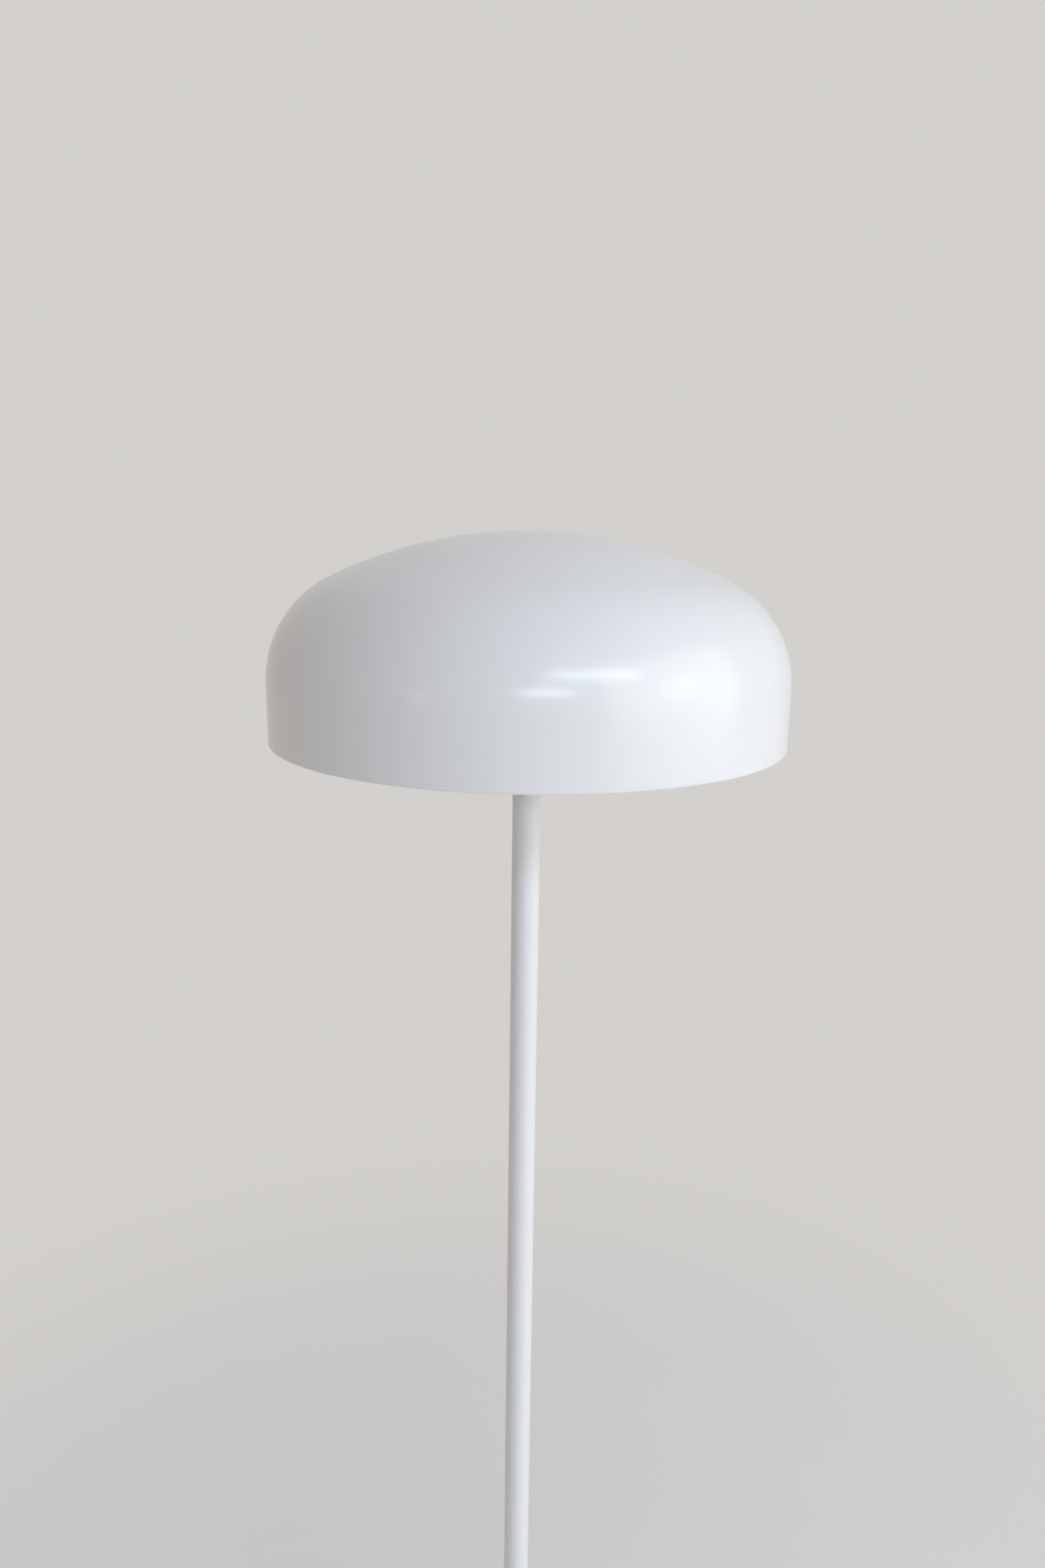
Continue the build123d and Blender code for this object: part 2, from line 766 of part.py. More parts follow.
with BuildPart() as base_weight:
    with BuildSketch(Plane.XY.offset(plate_top)):
        Circle(weight_radius)
    extrude(amount=weight_thickness)
    chamfer(base_weight.edges().group_by(Axis.Z)[-1], cover_wall)
    # Bore and well of the central bolt
    with BuildSketch(Plane.XY.offset(plate_top)):
        Circle(nipple_radius + slip_gap)
        with Locations((switch_offset, 0)):
            Circle(switch_pocket_radius)
    extrude(amount=weight_thickness, mode=Mode.SUBTRACT)
    with BuildSketch(Plane.XY.offset(plate_top)):
        Circle(bolt_well_radius)
    extrude(amount=weight_thickness - clamp_web, mode=Mode.SUBTRACT)
    # Channels for the two leads
    with BuildSketch(Plane.XY.offset(plate_top)):
        with BuildLine():
            FilletPolyline(*mains_lead_route, radius=lead_bend_radius)
        trace(line_width=channel_width)
    extrude(amount=mains_lead_height + lead_radius + channel_roof_gap - plate_top, mode=Mode.SUBTRACT)
    with BuildSketch(Plane.XY.offset(plate_top)):
        with Locations((switch_offset / 2, 0)):
            Rectangle(switch_offset, channel_width)
    extrude(amount=stem_lead_height + lead_radius + channel_roof_gap - plate_top, mode=Mode.SUBTRACT)
    # Recess and screw holes of the lead clamp
    with BuildSketch(Plane.XY.offset(plate_top)):
        with Locations((0, clamp_place)):
            Rectangle(clamp_length + 2 * slip_gap, clamp_width + 2 * slip_gap)
    extrude(amount=mains_lead_height - lead_radius - plate_top, mode=Mode.SUBTRACT)
    with BuildSketch(Plane.XY.offset(plate_top)):
        with Locations((0, clamp_place)):
            with GridLocations(clamp_screw_spacing, 0, 2, 1):
                Circle(clamp_screw_radius + press_gap)
    extrude(amount=mains_lead_height - lead_radius - plate_top + clamp_screw_length, mode=Mode.SUBTRACT)
    # Tapped holes of the bottom plate's screws
    with BuildSketch(Plane.XY.offset(plate_top)):
        with screw_places:
            Circle(plate_screw_radius + press_gap)
    extrude(amount=plate_screw_length, mode=Mode.SUBTRACT)

with BuildPart() as bottom_plate:
    with BuildSketch(Plane.XY.offset(foot_height)):
        Circle(inner_radius - slip_gap)
        with screw_places:
            Circle(plate_screw_radius + slip_gap, mode=Mode.SUBTRACT)
    extrude(amount=plate_thickness)

with BuildPart() as plate_screws:
    with BuildSketch(Plane.XY.offset(foot_height)):
        with screw_places:
            Circle(plate_screw_radius)
    extrude(amount=plate_thickness + plate_screw_length - slip_gap)
    with BuildSketch(Plane.XY.offset(foot_height)):
        with screw_places:
            Circle(plate_screw_head_radius)
    extrude(amount=-plate_screw_head_height)
    with BuildSketch(Plane.XY.offset(foot_height - plate_screw_head_height)):
        with screw_places:
            Rectangle(screw_slot_length, screw_slot_width)
            Rectangle(screw_slot_width, screw_slot_length)
    extrude(amount=0.6 * plate_screw_head_height, mode=Mode.SUBTRACT)

with BuildPart() as rubber_feet:
    with BuildSketch(Plane.XY.offset(foot_height)):
        with PolarLocations(foot_circle_radius, foot_count):
            Circle(foot_radius)
    extrude(amount=-foot_height, taper=12)

with BuildPart() as load_washer:
    with BuildSketch(Plane.XY.offset(well_top)):
        Circle(load_washer_radius)
        Circle(nipple_radius + slip_gap, mode=Mode.SUBTRACT)
    extrude(amount=-load_washer_thickness)

with BuildPart() as clamp_nut:
    with BuildSketch(Plane.XY.offset(nut_bottom)):
        RegularPolygon(locknut_flats / 2, 6, major_radius=False)
        Circle(screw_bore, mode=Mode.SUBTRACT)
    extrude(amount=locknut_thickness)

with BuildPart() as base_bolt:
    with BuildSketch(Plane.XY.offset(bolt_bottom)):
        Circle(nipple_radius)
        Circle(nipple_bore, mode=Mode.SUBTRACT)
    extrude(amount=cover_top + bolt_grip_in_stem - bolt_bottom)

with BuildPart() as cord_gland:
    with BuildSketch(Plane.XY.offset(mains_lead_height)):
        with BuildLine():
            barb_face = inner_radius - slip_gap
            Polyline(
                (gland_bore_radius, gland_inner_end),
                (gland_neck_radius, gland_inner_end),
                (gland_barb_radius, barb_face),
                (gland_neck_radius, barb_face),
                (gland_neck_radius, cover_radius),
                (gland_flange_radius, cover_radius),
                (0.85 * gland_flange_radius, cover_radius + gland_flange_thickness),
                (gland_bore_radius, cover_radius + gland_flange_thickness),
                close=True,
            )
        make_face()
    revolve(axis=Axis((0, 0, mains_lead_height), (0, 1, 0)))

strap_top = mains_lead_height - lead_radius - seat_gap
strap_bottom = strap_top - clamp_thickness

with BuildPart() as lead_clamp:
    with BuildSketch(Plane.XY.offset(strap_bottom)):
        with Locations((0, clamp_place)):
            Rectangle(clamp_length, clamp_width)
            with GridLocations(clamp_screw_spacing, 0, 2, 1):
                Circle(clamp_screw_radius + slip_gap, mode=Mode.SUBTRACT)
    extrude(amount=clamp_thickness)
    fillet(lead_clamp.edges().filter_by(Axis.Z).filter_by(GeomType.LINE), clamp_thickness)

with BuildPart() as clamp_screws:
    with BuildSketch(Plane.XY.offset(strap_bottom)):
        with Locations((0, clamp_place)):
            with GridLocations(clamp_screw_spacing, 0, 2, 1):
                Circle(clamp_screw_radius)
    extrude(amount=clamp_thickness + clamp_screw_length - slip_gap)
    with BuildSketch(Plane.XY.offset(strap_bottom)):
        with Locations((0, clamp_place)):
            with GridLocations(clamp_screw_spacing, 0, 2, 1):
                Circle(clamp_screw_head_radius)
    extrude(amount=-clamp_screw_head_height)

# ---------------------------------------------------------------------------
# Foot switch
# ---------------------------------------------------------------------------

switch_axis = Axis((switch_offset, 0, 0), (0, 0, 1))


def switch_section():
    """The XZ plane with its origin on the switch's axis at the floor."""
    return Plane(origin=(switch_offset, 0, 0), x_dir=(1, 0, 0), z_dir=(0, -1, 0))


with BuildPart() as switch_body:
    with BuildSketch(switch_section()):
        with BuildLine():
            Polyline(
                (0, switch_floor),
                (switch_body_radius, switch_floor),
                (switch_body_radius, flange_bottom),
                (switch_flange_radius, flange_bottom),
                (switch_flange_radius, weight_top),
                (switch_body_radius, weight_top),
                (switch_body_radius, neck_top),
                (switch_bore, neck_top),
                (switch_bore, switch_cavity_floor),
                (0, switch_cavity_floor),
                close=True,
            )
        make_face()
    revolve(axis=switch_axis)

with BuildPart() as switch_bezel:
    bezel_top = neck_top + bezel_lip
    with BuildSketch(switch_section()):
        with BuildLine():
            Polyline(
                (switch_body_radius + seat_gap, cover_top),
                (bezel_radius, cover_top),
                (bezel_radius, bezel_top - bezel_lip / 2),
                (bezel_radius - bezel_lip / 2, bezel_top),
                (button_hole, bezel_top),
                (button_hole, neck_top + seat_gap),
                (switch_body_radius + seat_gap, neck_top + seat_gap),
                close=True,
            )
        make_face()
    revolve(axis=switch_axis)

with BuildPart() as switch_button:
    with BuildSketch(switch_section()):
        with BuildLine():
            Polyline(
                (0, button_roof),
                (button_radius - button_wall, button_roof),
                (button_radius - button_wall, button_flange_bottom),
                (button_flange_radius, button_flange_bottom),
                (button_flange_radius, button_flange_top),
                (button_radius, button_flange_top),
                (button_radius, button_top),
                (0, button_top),
                close=True,
            )
        make_face()
    revolve(axis=switch_axis)
    fillet(switch_button.edges().group_by(Axis.Z)[-1], button_crown_fillet)

with BuildPart() as switch_spring:
    coil_bottom = switch_cavity_floor + spring_wire_radius + seat_gap
    coil_top = button_roof - spring_wire_radius - seat_gap
    coil_rise = coil_top - coil_bottom
    coil_start = (switch_offset, 0, coil_bottom)
    with BuildLine():
        coil = Helix(coil_rise / spring_turns, coil_rise, spring_radius, center=coil_start)
    with BuildSketch(Plane(origin=coil @ 0, z_dir=coil % 0)):
        Circle(spring_wire_radius)
    sweep(path=coil, is_frenet=True)

with BuildPart() as switch_terminals:
    block_middle = switch_body_radius + switch_terminal_length / 2
    with BuildSketch(Plane.XY.offset(stem_lead_height - switch_terminal_height / 2)):
        with Locations((switch_offset - block_middle, 0)):
            Rectangle(switch_terminal_length, switch_terminal_width)
    extrude(amount=switch_terminal_height)
    with BuildSketch(Plane.XY.offset(mains_lead_height - switch_terminal_height / 2)):
        with Locations((switch_offset, block_middle)):
            Rectangle(switch_terminal_width, switch_terminal_length)
    extrude(amount=switch_terminal_height)

# ---------------------------------------------------------------------------
# One STEP file for each piece, named after it
# ---------------------------------------------------------------------------

pieces = {
    "shade_shell": shade_shell,
    "shade_spider": shade_spider,
    "shade_studs": shade_studs,
    "shade_nuts": shade_nuts,
    "shade_ring_upper": shade_ring_upper,
    "shade_ring_lower": shade_ring_lower,
    "holder_skirt": holder_skirt,
    "holder_cap": holder_cap,
    "holder_core": holder_core,
    "screw_shell": screw_shell,
    "centre_contact": centre_contact,
    "holder_terminals": holder_terminals,
    "terminal_screws": terminal_screws,
    "bulb_diffuser": bulb_diffuser,
    "bulb_housing": bulb_housing,
    "led_board": led_board,
    "led_chips": led_chips,
    "bulb_screw_cap": bulb_screw_cap,
    "bulb_insulator": bulb_insulator,
    "bulb_tip": bulb_tip,
    "top_nipple": top_nipple,
    "lock_nut": lock_nut,
    "lock_washer": lock_washer,
    "top_insert": top_insert,
    "upper_tube": upper_tube,
    "upper_joint_insert": upper_joint_insert,
    "joint_stud": joint_stud,
    "lower_joint_insert": lower_joint_insert,
    "lower_tube": lower_tube,
    "foot_insert": foot_insert,
    "foot_collar": foot_collar,
    "base_bolt": base_bolt,
    "load_washer": load_washer,
    "clamp_nut": clamp_nut,
    "base_cover": base_cover,
    "base_weight": base_weight,
    "bottom_plate": bottom_plate,
    "plate_screws": plate_screws,
    "rubber_feet": rubber_feet,
    "cord_gland": cord_gland,
    "lead_clamp": lead_clamp,
    "clamp_screws": clamp_screws,
    "switch_body": switch_body,
    "switch_bezel": switch_bezel,
    "switch_button": switch_button,
    "switch_spring": switch_spring,
    "switch_terminals": switch_terminals,
    "mains_lead": mains_lead,
    "stem_lead": stem_lead,
    "core_wires": core_wires,
}

os.makedirs("parts", exist_ok=True)
for name, piece in pieces.items():
    piece.part.label = name
    export_step(piece.part, f"parts/{name}.step")
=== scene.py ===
# %% [markdown]
# # Dressing a mushroom floor lamp
# The lamp is a spun metal dome on a slim tube, over a round weighted base. Its solids come from
# CAD at their real size. This lesson gives them finished surfaces in Blender: a rounded edge
# where the press or the lathe leaves one, a real thread where the solid has plain rings, and a
# finish for every metal, plastic and rubber. Nothing is moved or resized on the way.

import json
import math

import bmesh
import bpy
from mathutils import Matrix, Vector

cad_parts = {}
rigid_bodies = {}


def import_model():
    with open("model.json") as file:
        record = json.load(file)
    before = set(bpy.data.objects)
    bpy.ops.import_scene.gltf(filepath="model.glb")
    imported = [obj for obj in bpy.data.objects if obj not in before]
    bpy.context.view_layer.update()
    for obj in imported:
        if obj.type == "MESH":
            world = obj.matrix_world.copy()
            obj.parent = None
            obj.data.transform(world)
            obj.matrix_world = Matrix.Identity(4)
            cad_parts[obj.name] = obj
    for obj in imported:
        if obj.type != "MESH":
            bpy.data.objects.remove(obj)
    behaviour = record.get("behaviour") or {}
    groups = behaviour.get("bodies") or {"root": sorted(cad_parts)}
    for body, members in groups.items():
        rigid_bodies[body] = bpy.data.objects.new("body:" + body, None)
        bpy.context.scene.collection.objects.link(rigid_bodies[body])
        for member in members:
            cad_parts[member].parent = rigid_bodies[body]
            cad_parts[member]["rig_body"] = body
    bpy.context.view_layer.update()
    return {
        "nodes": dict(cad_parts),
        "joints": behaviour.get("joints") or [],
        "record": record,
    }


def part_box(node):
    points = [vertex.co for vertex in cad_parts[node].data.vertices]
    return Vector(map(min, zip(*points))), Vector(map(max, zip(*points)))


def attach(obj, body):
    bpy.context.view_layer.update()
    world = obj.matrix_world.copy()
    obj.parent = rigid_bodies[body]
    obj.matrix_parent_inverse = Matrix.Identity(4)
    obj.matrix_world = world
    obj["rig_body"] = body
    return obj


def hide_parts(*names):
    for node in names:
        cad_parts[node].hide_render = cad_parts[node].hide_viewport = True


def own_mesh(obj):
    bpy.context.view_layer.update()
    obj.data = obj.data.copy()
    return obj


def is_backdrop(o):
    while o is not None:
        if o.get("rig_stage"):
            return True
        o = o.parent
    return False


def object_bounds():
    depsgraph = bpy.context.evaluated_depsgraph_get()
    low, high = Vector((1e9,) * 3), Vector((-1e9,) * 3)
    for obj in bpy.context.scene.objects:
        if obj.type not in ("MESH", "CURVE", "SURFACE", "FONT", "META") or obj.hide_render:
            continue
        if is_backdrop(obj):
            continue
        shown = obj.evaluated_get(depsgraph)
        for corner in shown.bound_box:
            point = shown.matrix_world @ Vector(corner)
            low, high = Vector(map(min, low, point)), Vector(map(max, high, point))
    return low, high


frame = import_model()
MM = 0.001
slot_of = {part["node"]: part["material_slot"] for part in frame["record"]["subparts"]}

# %% [markdown]
# ## The camera
# The photographer stood close, with the lens level with the top of the shade and tipped down, so
# the dome looks wide and the stem runs out of the bottom of the picture. A camera's place could be
# found by trial. Here it was fitted to the dome's outline and the stem's edges, which also gave
# the small roll. The lens is for a 36 mm wide sensor on the picture's long side.

# %% Place the camera
scene = bpy.context.scene
camera_place = Vector((-0.0020, -0.9316, 1.4974))
camera_yaw = 0.0019
camera_tilt = 0.2261
camera_roll = 0.0132
focal_length = 24.98
sensor_width = 36.0


def add_camera():
    """The photograph's viewpoint: turned about Z, tipped down from level, then rolled."""
    lens = bpy.data.cameras.new("camera")
    lens.sensor_width = sensor_width
    lens.lens = focal_length
    camera = bpy.data.objects.new("camera", lens)
    scene.collection.objects.link(camera)
    level = Matrix.Rotation(camera_yaw, 4, "Z") @ Matrix.Rotation(math.pi / 2 - camera_tilt, 4, "X")
    rolled = Matrix.Rotation(camera_roll, 4, "Z")
    camera.matrix_world = Matrix.Translation(camera_place) @ level @ rolled
    return camera


scene.camera = add_camera()
scene.view_settings.view_transform = "Standard"
print(f"camera {camera_place.length:.2f} m from the lamp's foot, {focal_length} mm lens")

# %% [markdown]
# ## Formulas as nodes
# A rule such as "the radius at this height" is short as a formula and long as a node tree. The
# nodes could be added one by one. A small class that turns each + or * into a Math node keeps the
# rule readable, and the same helper serves materials, because both kinds of tree share the node.


# %% Write a formula and get its nodes
def plug(socket, value):
    """Feeds a socket from a wire, or sets it to a plain value."""
    if isinstance(value, Wire):
        socket.id_data.links.new(value.socket, socket)
    else:
        socket.default_value = value


def add_node(tree, kind, inputs=(), output=0, **settings):
    """Adds a node, with its settings first, because they decide which sockets it has."""
    node = tree.nodes.new(kind)
    for name, value in settings.items():
        setattr(node, name, value)
    for name, value in inputs.items() if isinstance(inputs, dict) else enumerate(inputs):
        plug(node.inputs[name], value)
    return Wire(node.outputs[output])


class Wire:
    """One output of a node. Arithmetic on it adds Math nodes to the same tree."""

    def __init__(self, socket):
        self.socket = socket

    def math(self, operation, *others):
        return add_node(self.socket.id_data, "ShaderNodeMath", [self, *others], operation=operation)

    def __add__(self, other):
        return self.math("ADD", other)

    def __sub__(self, other):
        return self.math("SUBTRACT", other)

    def __mul__(self, other):
        return self.math("MULTIPLY", other)

    def __truediv__(self, other):
        return self.math("DIVIDE", other)

    def __rsub__(self, other):
        return self * -1 + other

    def clamp(self, low, high):
        return self.math("MAXIMUM", low).math("MINIMUM", high)

    def sin(self):
        return self.math("SINE")

    def cos(self):
        return self.math("COSINE")

    def split(self):
        """The X, Y and Z of a vector."""
        parts = add_node(self.socket.id_data, "ShaderNodeSeparateXYZ", [self])
        return [Wire(output) for output in parts.socket.node.outputs]

    def ramp(self, start, end, low=0.0, high=1.0):
        """Goes smoothly from low to high as the value goes from start to end."""
        ends = {"From Min": start, "From Max": end, "To Min": low, "To Max": high}
        smooth = {"interpolation_type": "SMOOTHSTEP"}
        return add_node(self.socket.id_data, "ShaderNodeMapRange", {"Value": self, **ends}, **smooth)


def join_xyz(tree, across, deep, up):
    """A vector from its X, Y and Z."""
    return add_node(tree, "ShaderNodeCombineXYZ", [across, deep, up])


def distance_out(across, deep):
    """How far a point is from the stem's axis."""
    return (across * across + deep * deep).math("SQRT")


print("formulas ready")

# %% [markdown]
# ## Starting and finishing a geometry tree
# Each tree gets named inputs for its sizes, so that it could be reused for another lamp. A tree
# could stay on its object as a live modifier. It is turned into a plain mesh here, so that the
# piece no longer depends on its tree.


# %% Helpers for geometry trees
SOCKET_KINDS = {
    float: "NodeSocketFloat",
    int: "NodeSocketInt",
    bpy.types.Material: "NodeSocketMaterial",
}


def new_tree(name, sizes, takes_mesh=False):
    """A geometry tree with an input for each size. Gives the tree and a wire for each input."""
    tree = bpy.data.node_groups.new(name, "GeometryNodeTree")
    if takes_mesh:
        tree.interface.new_socket("Geometry", in_out="INPUT", socket_type="NodeSocketGeometry")
    for label, value in sizes.items():
        tree.interface.new_socket(label, in_out="INPUT", socket_type=SOCKET_KINDS[type(value)])
    tree.interface.new_socket("Geometry", in_out="OUTPUT", socket_type="NodeSocketGeometry")
    sockets = tree.nodes.new("NodeGroupInput").outputs
    return tree, {socket.name: Wire(socket) for socket in sockets if socket.name}


def end_tree(tree, geometry, material):
    """Every tree ends the same way: real faces instead of copies, smooth, with their material."""
    real = add_node(tree, "GeometryNodeRealizeInstances", [geometry])
    smooth = add_node(tree, "GeometryNodeSetShadeSmooth", [real])
    coated = add_node(tree, "GeometryNodeSetMaterial", {"Geometry": smooth, "Material": material})
    tree.links.new(coated.socket, tree.nodes.new("NodeGroupOutput").inputs[0])
    return tree


def evaluated_mesh(piece):
    """What a piece's modifier makes of it, as a plain mesh, and the modifier is removed."""
    graph = bpy.context.evaluated_depsgraph_get()
    mesh = bpy.data.meshes.new_from_object(piece.evaluated_get(graph))
    piece.modifiers.clear()
    return mesh


def grow(name, tree, sizes, blank=None):
    """Runs a tree once, from nothing or from a blank that it uses up, and keeps the mesh."""
    piece = bpy.data.objects.new(name, blank.data if blank else bpy.data.meshes.new(name))
    modifier = piece.modifiers.new(tree.name, "NODES")
    modifier.node_group = tree
    for socket in tree.interface.items_tree:
        if socket.name in sizes:
            modifier[socket.identifier] = sizes[socket.name]
    scene.collection.objects.link(piece)
    piece.data = evaluated_mesh(piece)
    piece.data.name = name
    if blank:
        bpy.data.objects.remove(blank)
    return piece


print("ready to grow pieces")

# %% [markdown]
# ## Finishes: where a material starts
# Every finish reads Object coordinates, which here are the lamp's own metres, so a grain keeps its
# real size on every piece. Image textures would need unwrapping. Noise in three dimensions has no
# seams on round parts, and it is enough for paint, castings and plastics.


# %% Helpers for finishes
def new_finish(name, **values):
    """A material with one shader. Plain values are set on the shader's own sockets."""
    material = bpy.data.materials.new(name)
    material.use_nodes = True
    shader = material.node_tree.nodes["Principled BSDF"]
    for socket, value in values.items():
        shader.inputs[socket.replace("_", " ")].default_value = value
    return material, material.node_tree, shader


def noise(tree, size, detail=2.0, stretch=None):
    """Noise whose patches are about this large, in metres, from 0 to 1."""
    place = add_node(tree, "ShaderNodeTexCoord", output="Object")
    if stretch:
        place = add_node(tree, "ShaderNodeMapping", {"Vector": place, "Scale": stretch})
    return add_node(tree, "ShaderNodeTexNoise", {"Vector": place, "Scale": 1 / size, "Detail": detail})


def between(tree, share, first, second):
    """A colour that goes from the first to the second as share goes from 0 to 1."""
    mix = add_node(tree, "ShaderNodeMix", {0: share}, output=2, data_type="RGBA")
    for socket, colour in zip(mix.socket.node.inputs[6:8], (first, second)):
        socket.default_value = (*colour, 1.0)
    return mix


def dress(tree, shader, colour, roughness, height, depth):
    """Feeds a shader its colour and roughness, and raises the surface: height 1 is one depth."""
    plug(shader.inputs["Base Color"], colour)
    plug(shader.inputs["Roughness"], roughness)
    raised = add_node(tree, "ShaderNodeBump", {"Strength": 1.0, "Distance": depth, "Height": height})
    plug(shader.inputs["Normal"], raised)


print("ready to mix finishes")

# %% [markdown]
# ## The white powder coat
# Shade, stem and base carry the same satin white coat. It is baked on as powder, which leaves a
# faint orange peel, a millimetre or two across and a few microns deep. Two noises are used: a fine
# one for the peel, and a slow one that lets the gloss and the white drift a little over the dome,
# as a sprayed coat does. One flat white would look like paper.

# %% Mix the powder coat
coat_greyer = (0.79, 0.79, 0.79)
coat_whiter = (0.82, 0.82, 0.82)
coat_roughness = 0.15
peel_size = 1.6 * MM
peel_depth = 0.004 * MM
drift_size = 160 * MM


def powder_coat():
    material, tree, shader = new_finish("powder_coat", IOR=1.5)
    peel = noise(tree, peel_size, detail=1.0)
    drift = noise(tree, drift_size, detail=3.0)
    colour = between(tree, drift, coat_greyer, coat_whiter)
    dress(tree, shader, colour, drift * 0.08 + peel * 0.03 + coat_roughness, peel, peel_depth)
    return material


finishes = {"shade_coat": powder_coat()}
finishes["stem_coat"] = finishes["shade_coat"]
print(f"{finishes['shade_coat'].name} for shade, stem and base")

# %% [markdown]
# ## Metals
# Zinc plate, nickel and brass share one recipe, because what tells them apart is their colour and
# how rough they are. Turned parts keep fine lines round them, so the noise is squeezed along the
# lamp's axis. Cast iron is another thing: dark, rough and pitted by the sand.

# %% Mix the metals
line_size = 1.2 * MM
line_depth = 0.01 * MM
stain_size = 14 * MM
sand_size = 1.1 * MM
sand_depth = 0.25 * MM
iron_patch = 22 * MM
round_lines = (1.0, 1.0, 6.0)


def plated(name, dark, light, roughness):
    material, tree, shader = new_finish(name, Metallic=1.0)
    lines = noise(tree, line_size, detail=4.0, stretch=round_lines)
    stain = noise(tree, stain_size, detail=3.0)
    colour = between(tree, stain, dark, light)
    dress(tree, shader, colour, lines * 0.12 + stain * 0.1 + roughness, lines, line_depth)
    return material


def sand_casting():
    material, tree, shader = new_finish("sand_casting", Metallic=0.5)
    grain = noise(tree, sand_size, detail=5.0)
    patches = noise(tree, iron_patch, detail=4.0)
    colour = between(tree, patches, (0.035, 0.036, 0.04), (0.09, 0.088, 0.085))
    dress(tree, shader, colour, grain * 0.25 + 0.6, grain, sand_depth)
    return material


finishes["zinc_steel"] = plated("zinc_plate", (0.6, 0.62, 0.65), (0.67, 0.68, 0.69), 0.26)
finishes["nickel"] = plated("nickel_plate", (0.63, 0.61, 0.57), (0.72, 0.7, 0.66), 0.14)
finishes["brass"] = plated("turned_brass", (0.62, 0.43, 0.16), (0.74, 0.55, 0.24), 0.2)
finishes["raw_iron"] = sand_casting()
print("zinc plate, nickel, brass and a sand casting")

# %% [markdown]
# ## Plastics, rubber, glassy and ceramic parts
# Moulded parts take the fine grain of their mould, and the bulb's shell is polished. The same
# recipe makes them all, with a size and a depth for the grain. The bulb's globe also lets light
# into its surface, which softens its shading as opal plastic does.

# %% Mix the moulded finishes
fine_grain = 0.35 * MM
dark_grain = 0.4 * MM
glassy_grain = 2 * MM
smooth_grain = 3 * MM
cloud_size = 40 * MM


def moulded(name, dark, light, roughness, grain_size, grain_depth, **values):
    material, tree, shader = new_finish(name, **values)
    grain = noise(tree, grain_size)
    cloud = noise(tree, cloud_size)
    colour = between(tree, cloud, dark, light)
    dress(tree, shader, colour, grain * 0.08 + cloud * 0.05 + roughness, grain, grain_depth * MM)
    return material


def steatite():
    """Unglazed lamp porcelain: cream, with fine grey specks fired into it."""
    material, tree, shader = new_finish("steatite")
    speck = noise(tree, 0.9 * MM, detail=0.0).ramp(0.7, 0.76)
    colour = between(tree, speck, (0.8, 0.77, 0.7), (0.42, 0.4, 0.36))
    dress(tree, shader, colour, speck * 0.2 + 0.36, noise(tree, 0.5 * MM), 0.02 * MM)
    return material


light_within = {"Subsurface_Weight": 0.2, "Subsurface_Scale": 0.003}
finishes |= {
    "porcelain": steatite(),
    "white_plastic": moulded(
        "grained_white", (0.74, 0.74, 0.73), (0.79, 0.79, 0.78), 0.42, fine_grain, 0.02
    ),
    "bulb_shell": moulded(
        "polished_white", (0.79, 0.79, 0.78), (0.83, 0.83, 0.82), 0.16, smooth_grain, 0.01
    ),
    "opal": moulded(
        "opal_plastic", (0.84, 0.84, 0.83), (0.86, 0.86, 0.85), 0.3, smooth_grain, 0.01, **light_within
    ),
    "board_white": moulded(
        "solder_mask", (0.78, 0.79, 0.77), (0.82, 0.83, 0.81), 0.3, fine_grain, 0.005
    ),
    "lead_jacket": moulded(
        "soft_jacket", (0.66, 0.66, 0.64), (0.71, 0.71, 0.69), 0.45, smooth_grain, 0.02
    ),
    "black_plastic": moulded(
        "grained_black", (0.016, 0.016, 0.017), (0.026, 0.026, 0.027), 0.42, dark_grain, 0.02
    ),
    "black_insulator": moulded(
        "black_glass", (0.012, 0.01, 0.014), (0.02, 0.018, 0.022), 0.08, glassy_grain, 0.02
    ),
    "rubber": moulded(
        "foot_rubber", (0.022, 0.022, 0.022), (0.04, 0.04, 0.039), 0.72, dark_grain, 0.04
    ),
    "phosphor": moulded(
        "phosphor_dot", (0.82, 0.6, 0.09), (0.88, 0.68, 0.14), 0.5, dark_grain, 0.02
    ),
}
print(f"{len(finishes)} finishes for {len(set(slot_of.values()))} slots")

# %% [markdown]
# ## Turning an outline on the lathe
# Most of the lamp is turned, spun or moulded round, so one helper spins an outline about an upright
# axis. Real parts never have knife edges, so the outline's corners are rounded first, with one more
# point each side that keeps the flat beside it flat. A Screw modifier would do the same, but a spun
# mesh can be checked at once: its volume has to come out positive, or it is inside out.


# %% Draw an outline
def soften(corners, reach=0.3 * MM, loop=True, steps=4):
    """Rounds the corners of an outline of (radius, height) points."""
    corners = [Vector(corner) for corner in corners]
    nearly_straight = math.pi - 0.2
    points = []
    for here, last, following in zip(corners, corners[-1:] + corners[:-1], corners[1:] + corners[:1]):
        before, after = last - here, following - here
        at_end = not loop and (here is corners[0] or here is corners[-1])
        if at_end or before.angle(after) > nearly_straight:
            points.append(here)
            continue
        near = min(reach, 0.4 * before.length, 0.4 * after.length)
        before, after = before.normalized() * near, after.normalized() * near
        points.append(here + before * 1.2)
        for step in range(steps + 1):
            share = step / steps
            points.append(here + before * (1 - share) ** 2 + after * share**2)
        points.append(here + after * 1.2)
    return points


def arc(centre, radius, start, end, steps=16):
    """Points on an arc, in degrees from the outward direction."""
    turns = [math.radians(start + (end - start) * step / steps) for step in range(steps + 1)]
    return [(centre[0] + radius * math.cos(turn), centre[1] + radius * math.sin(turn)) for turn in turns]


def across_flat(start, end, height, count):
    """Points across a flat face, so that its shading stays flat between its two edges."""
    return [(start + (end - start) * step / (count + 1), height) for step in range(1, count + 1)]


print("outlines ready")

# %% Spin an outline into a body
SHARP = math.radians(32)
SAME_PLACE = 0.002 * MM


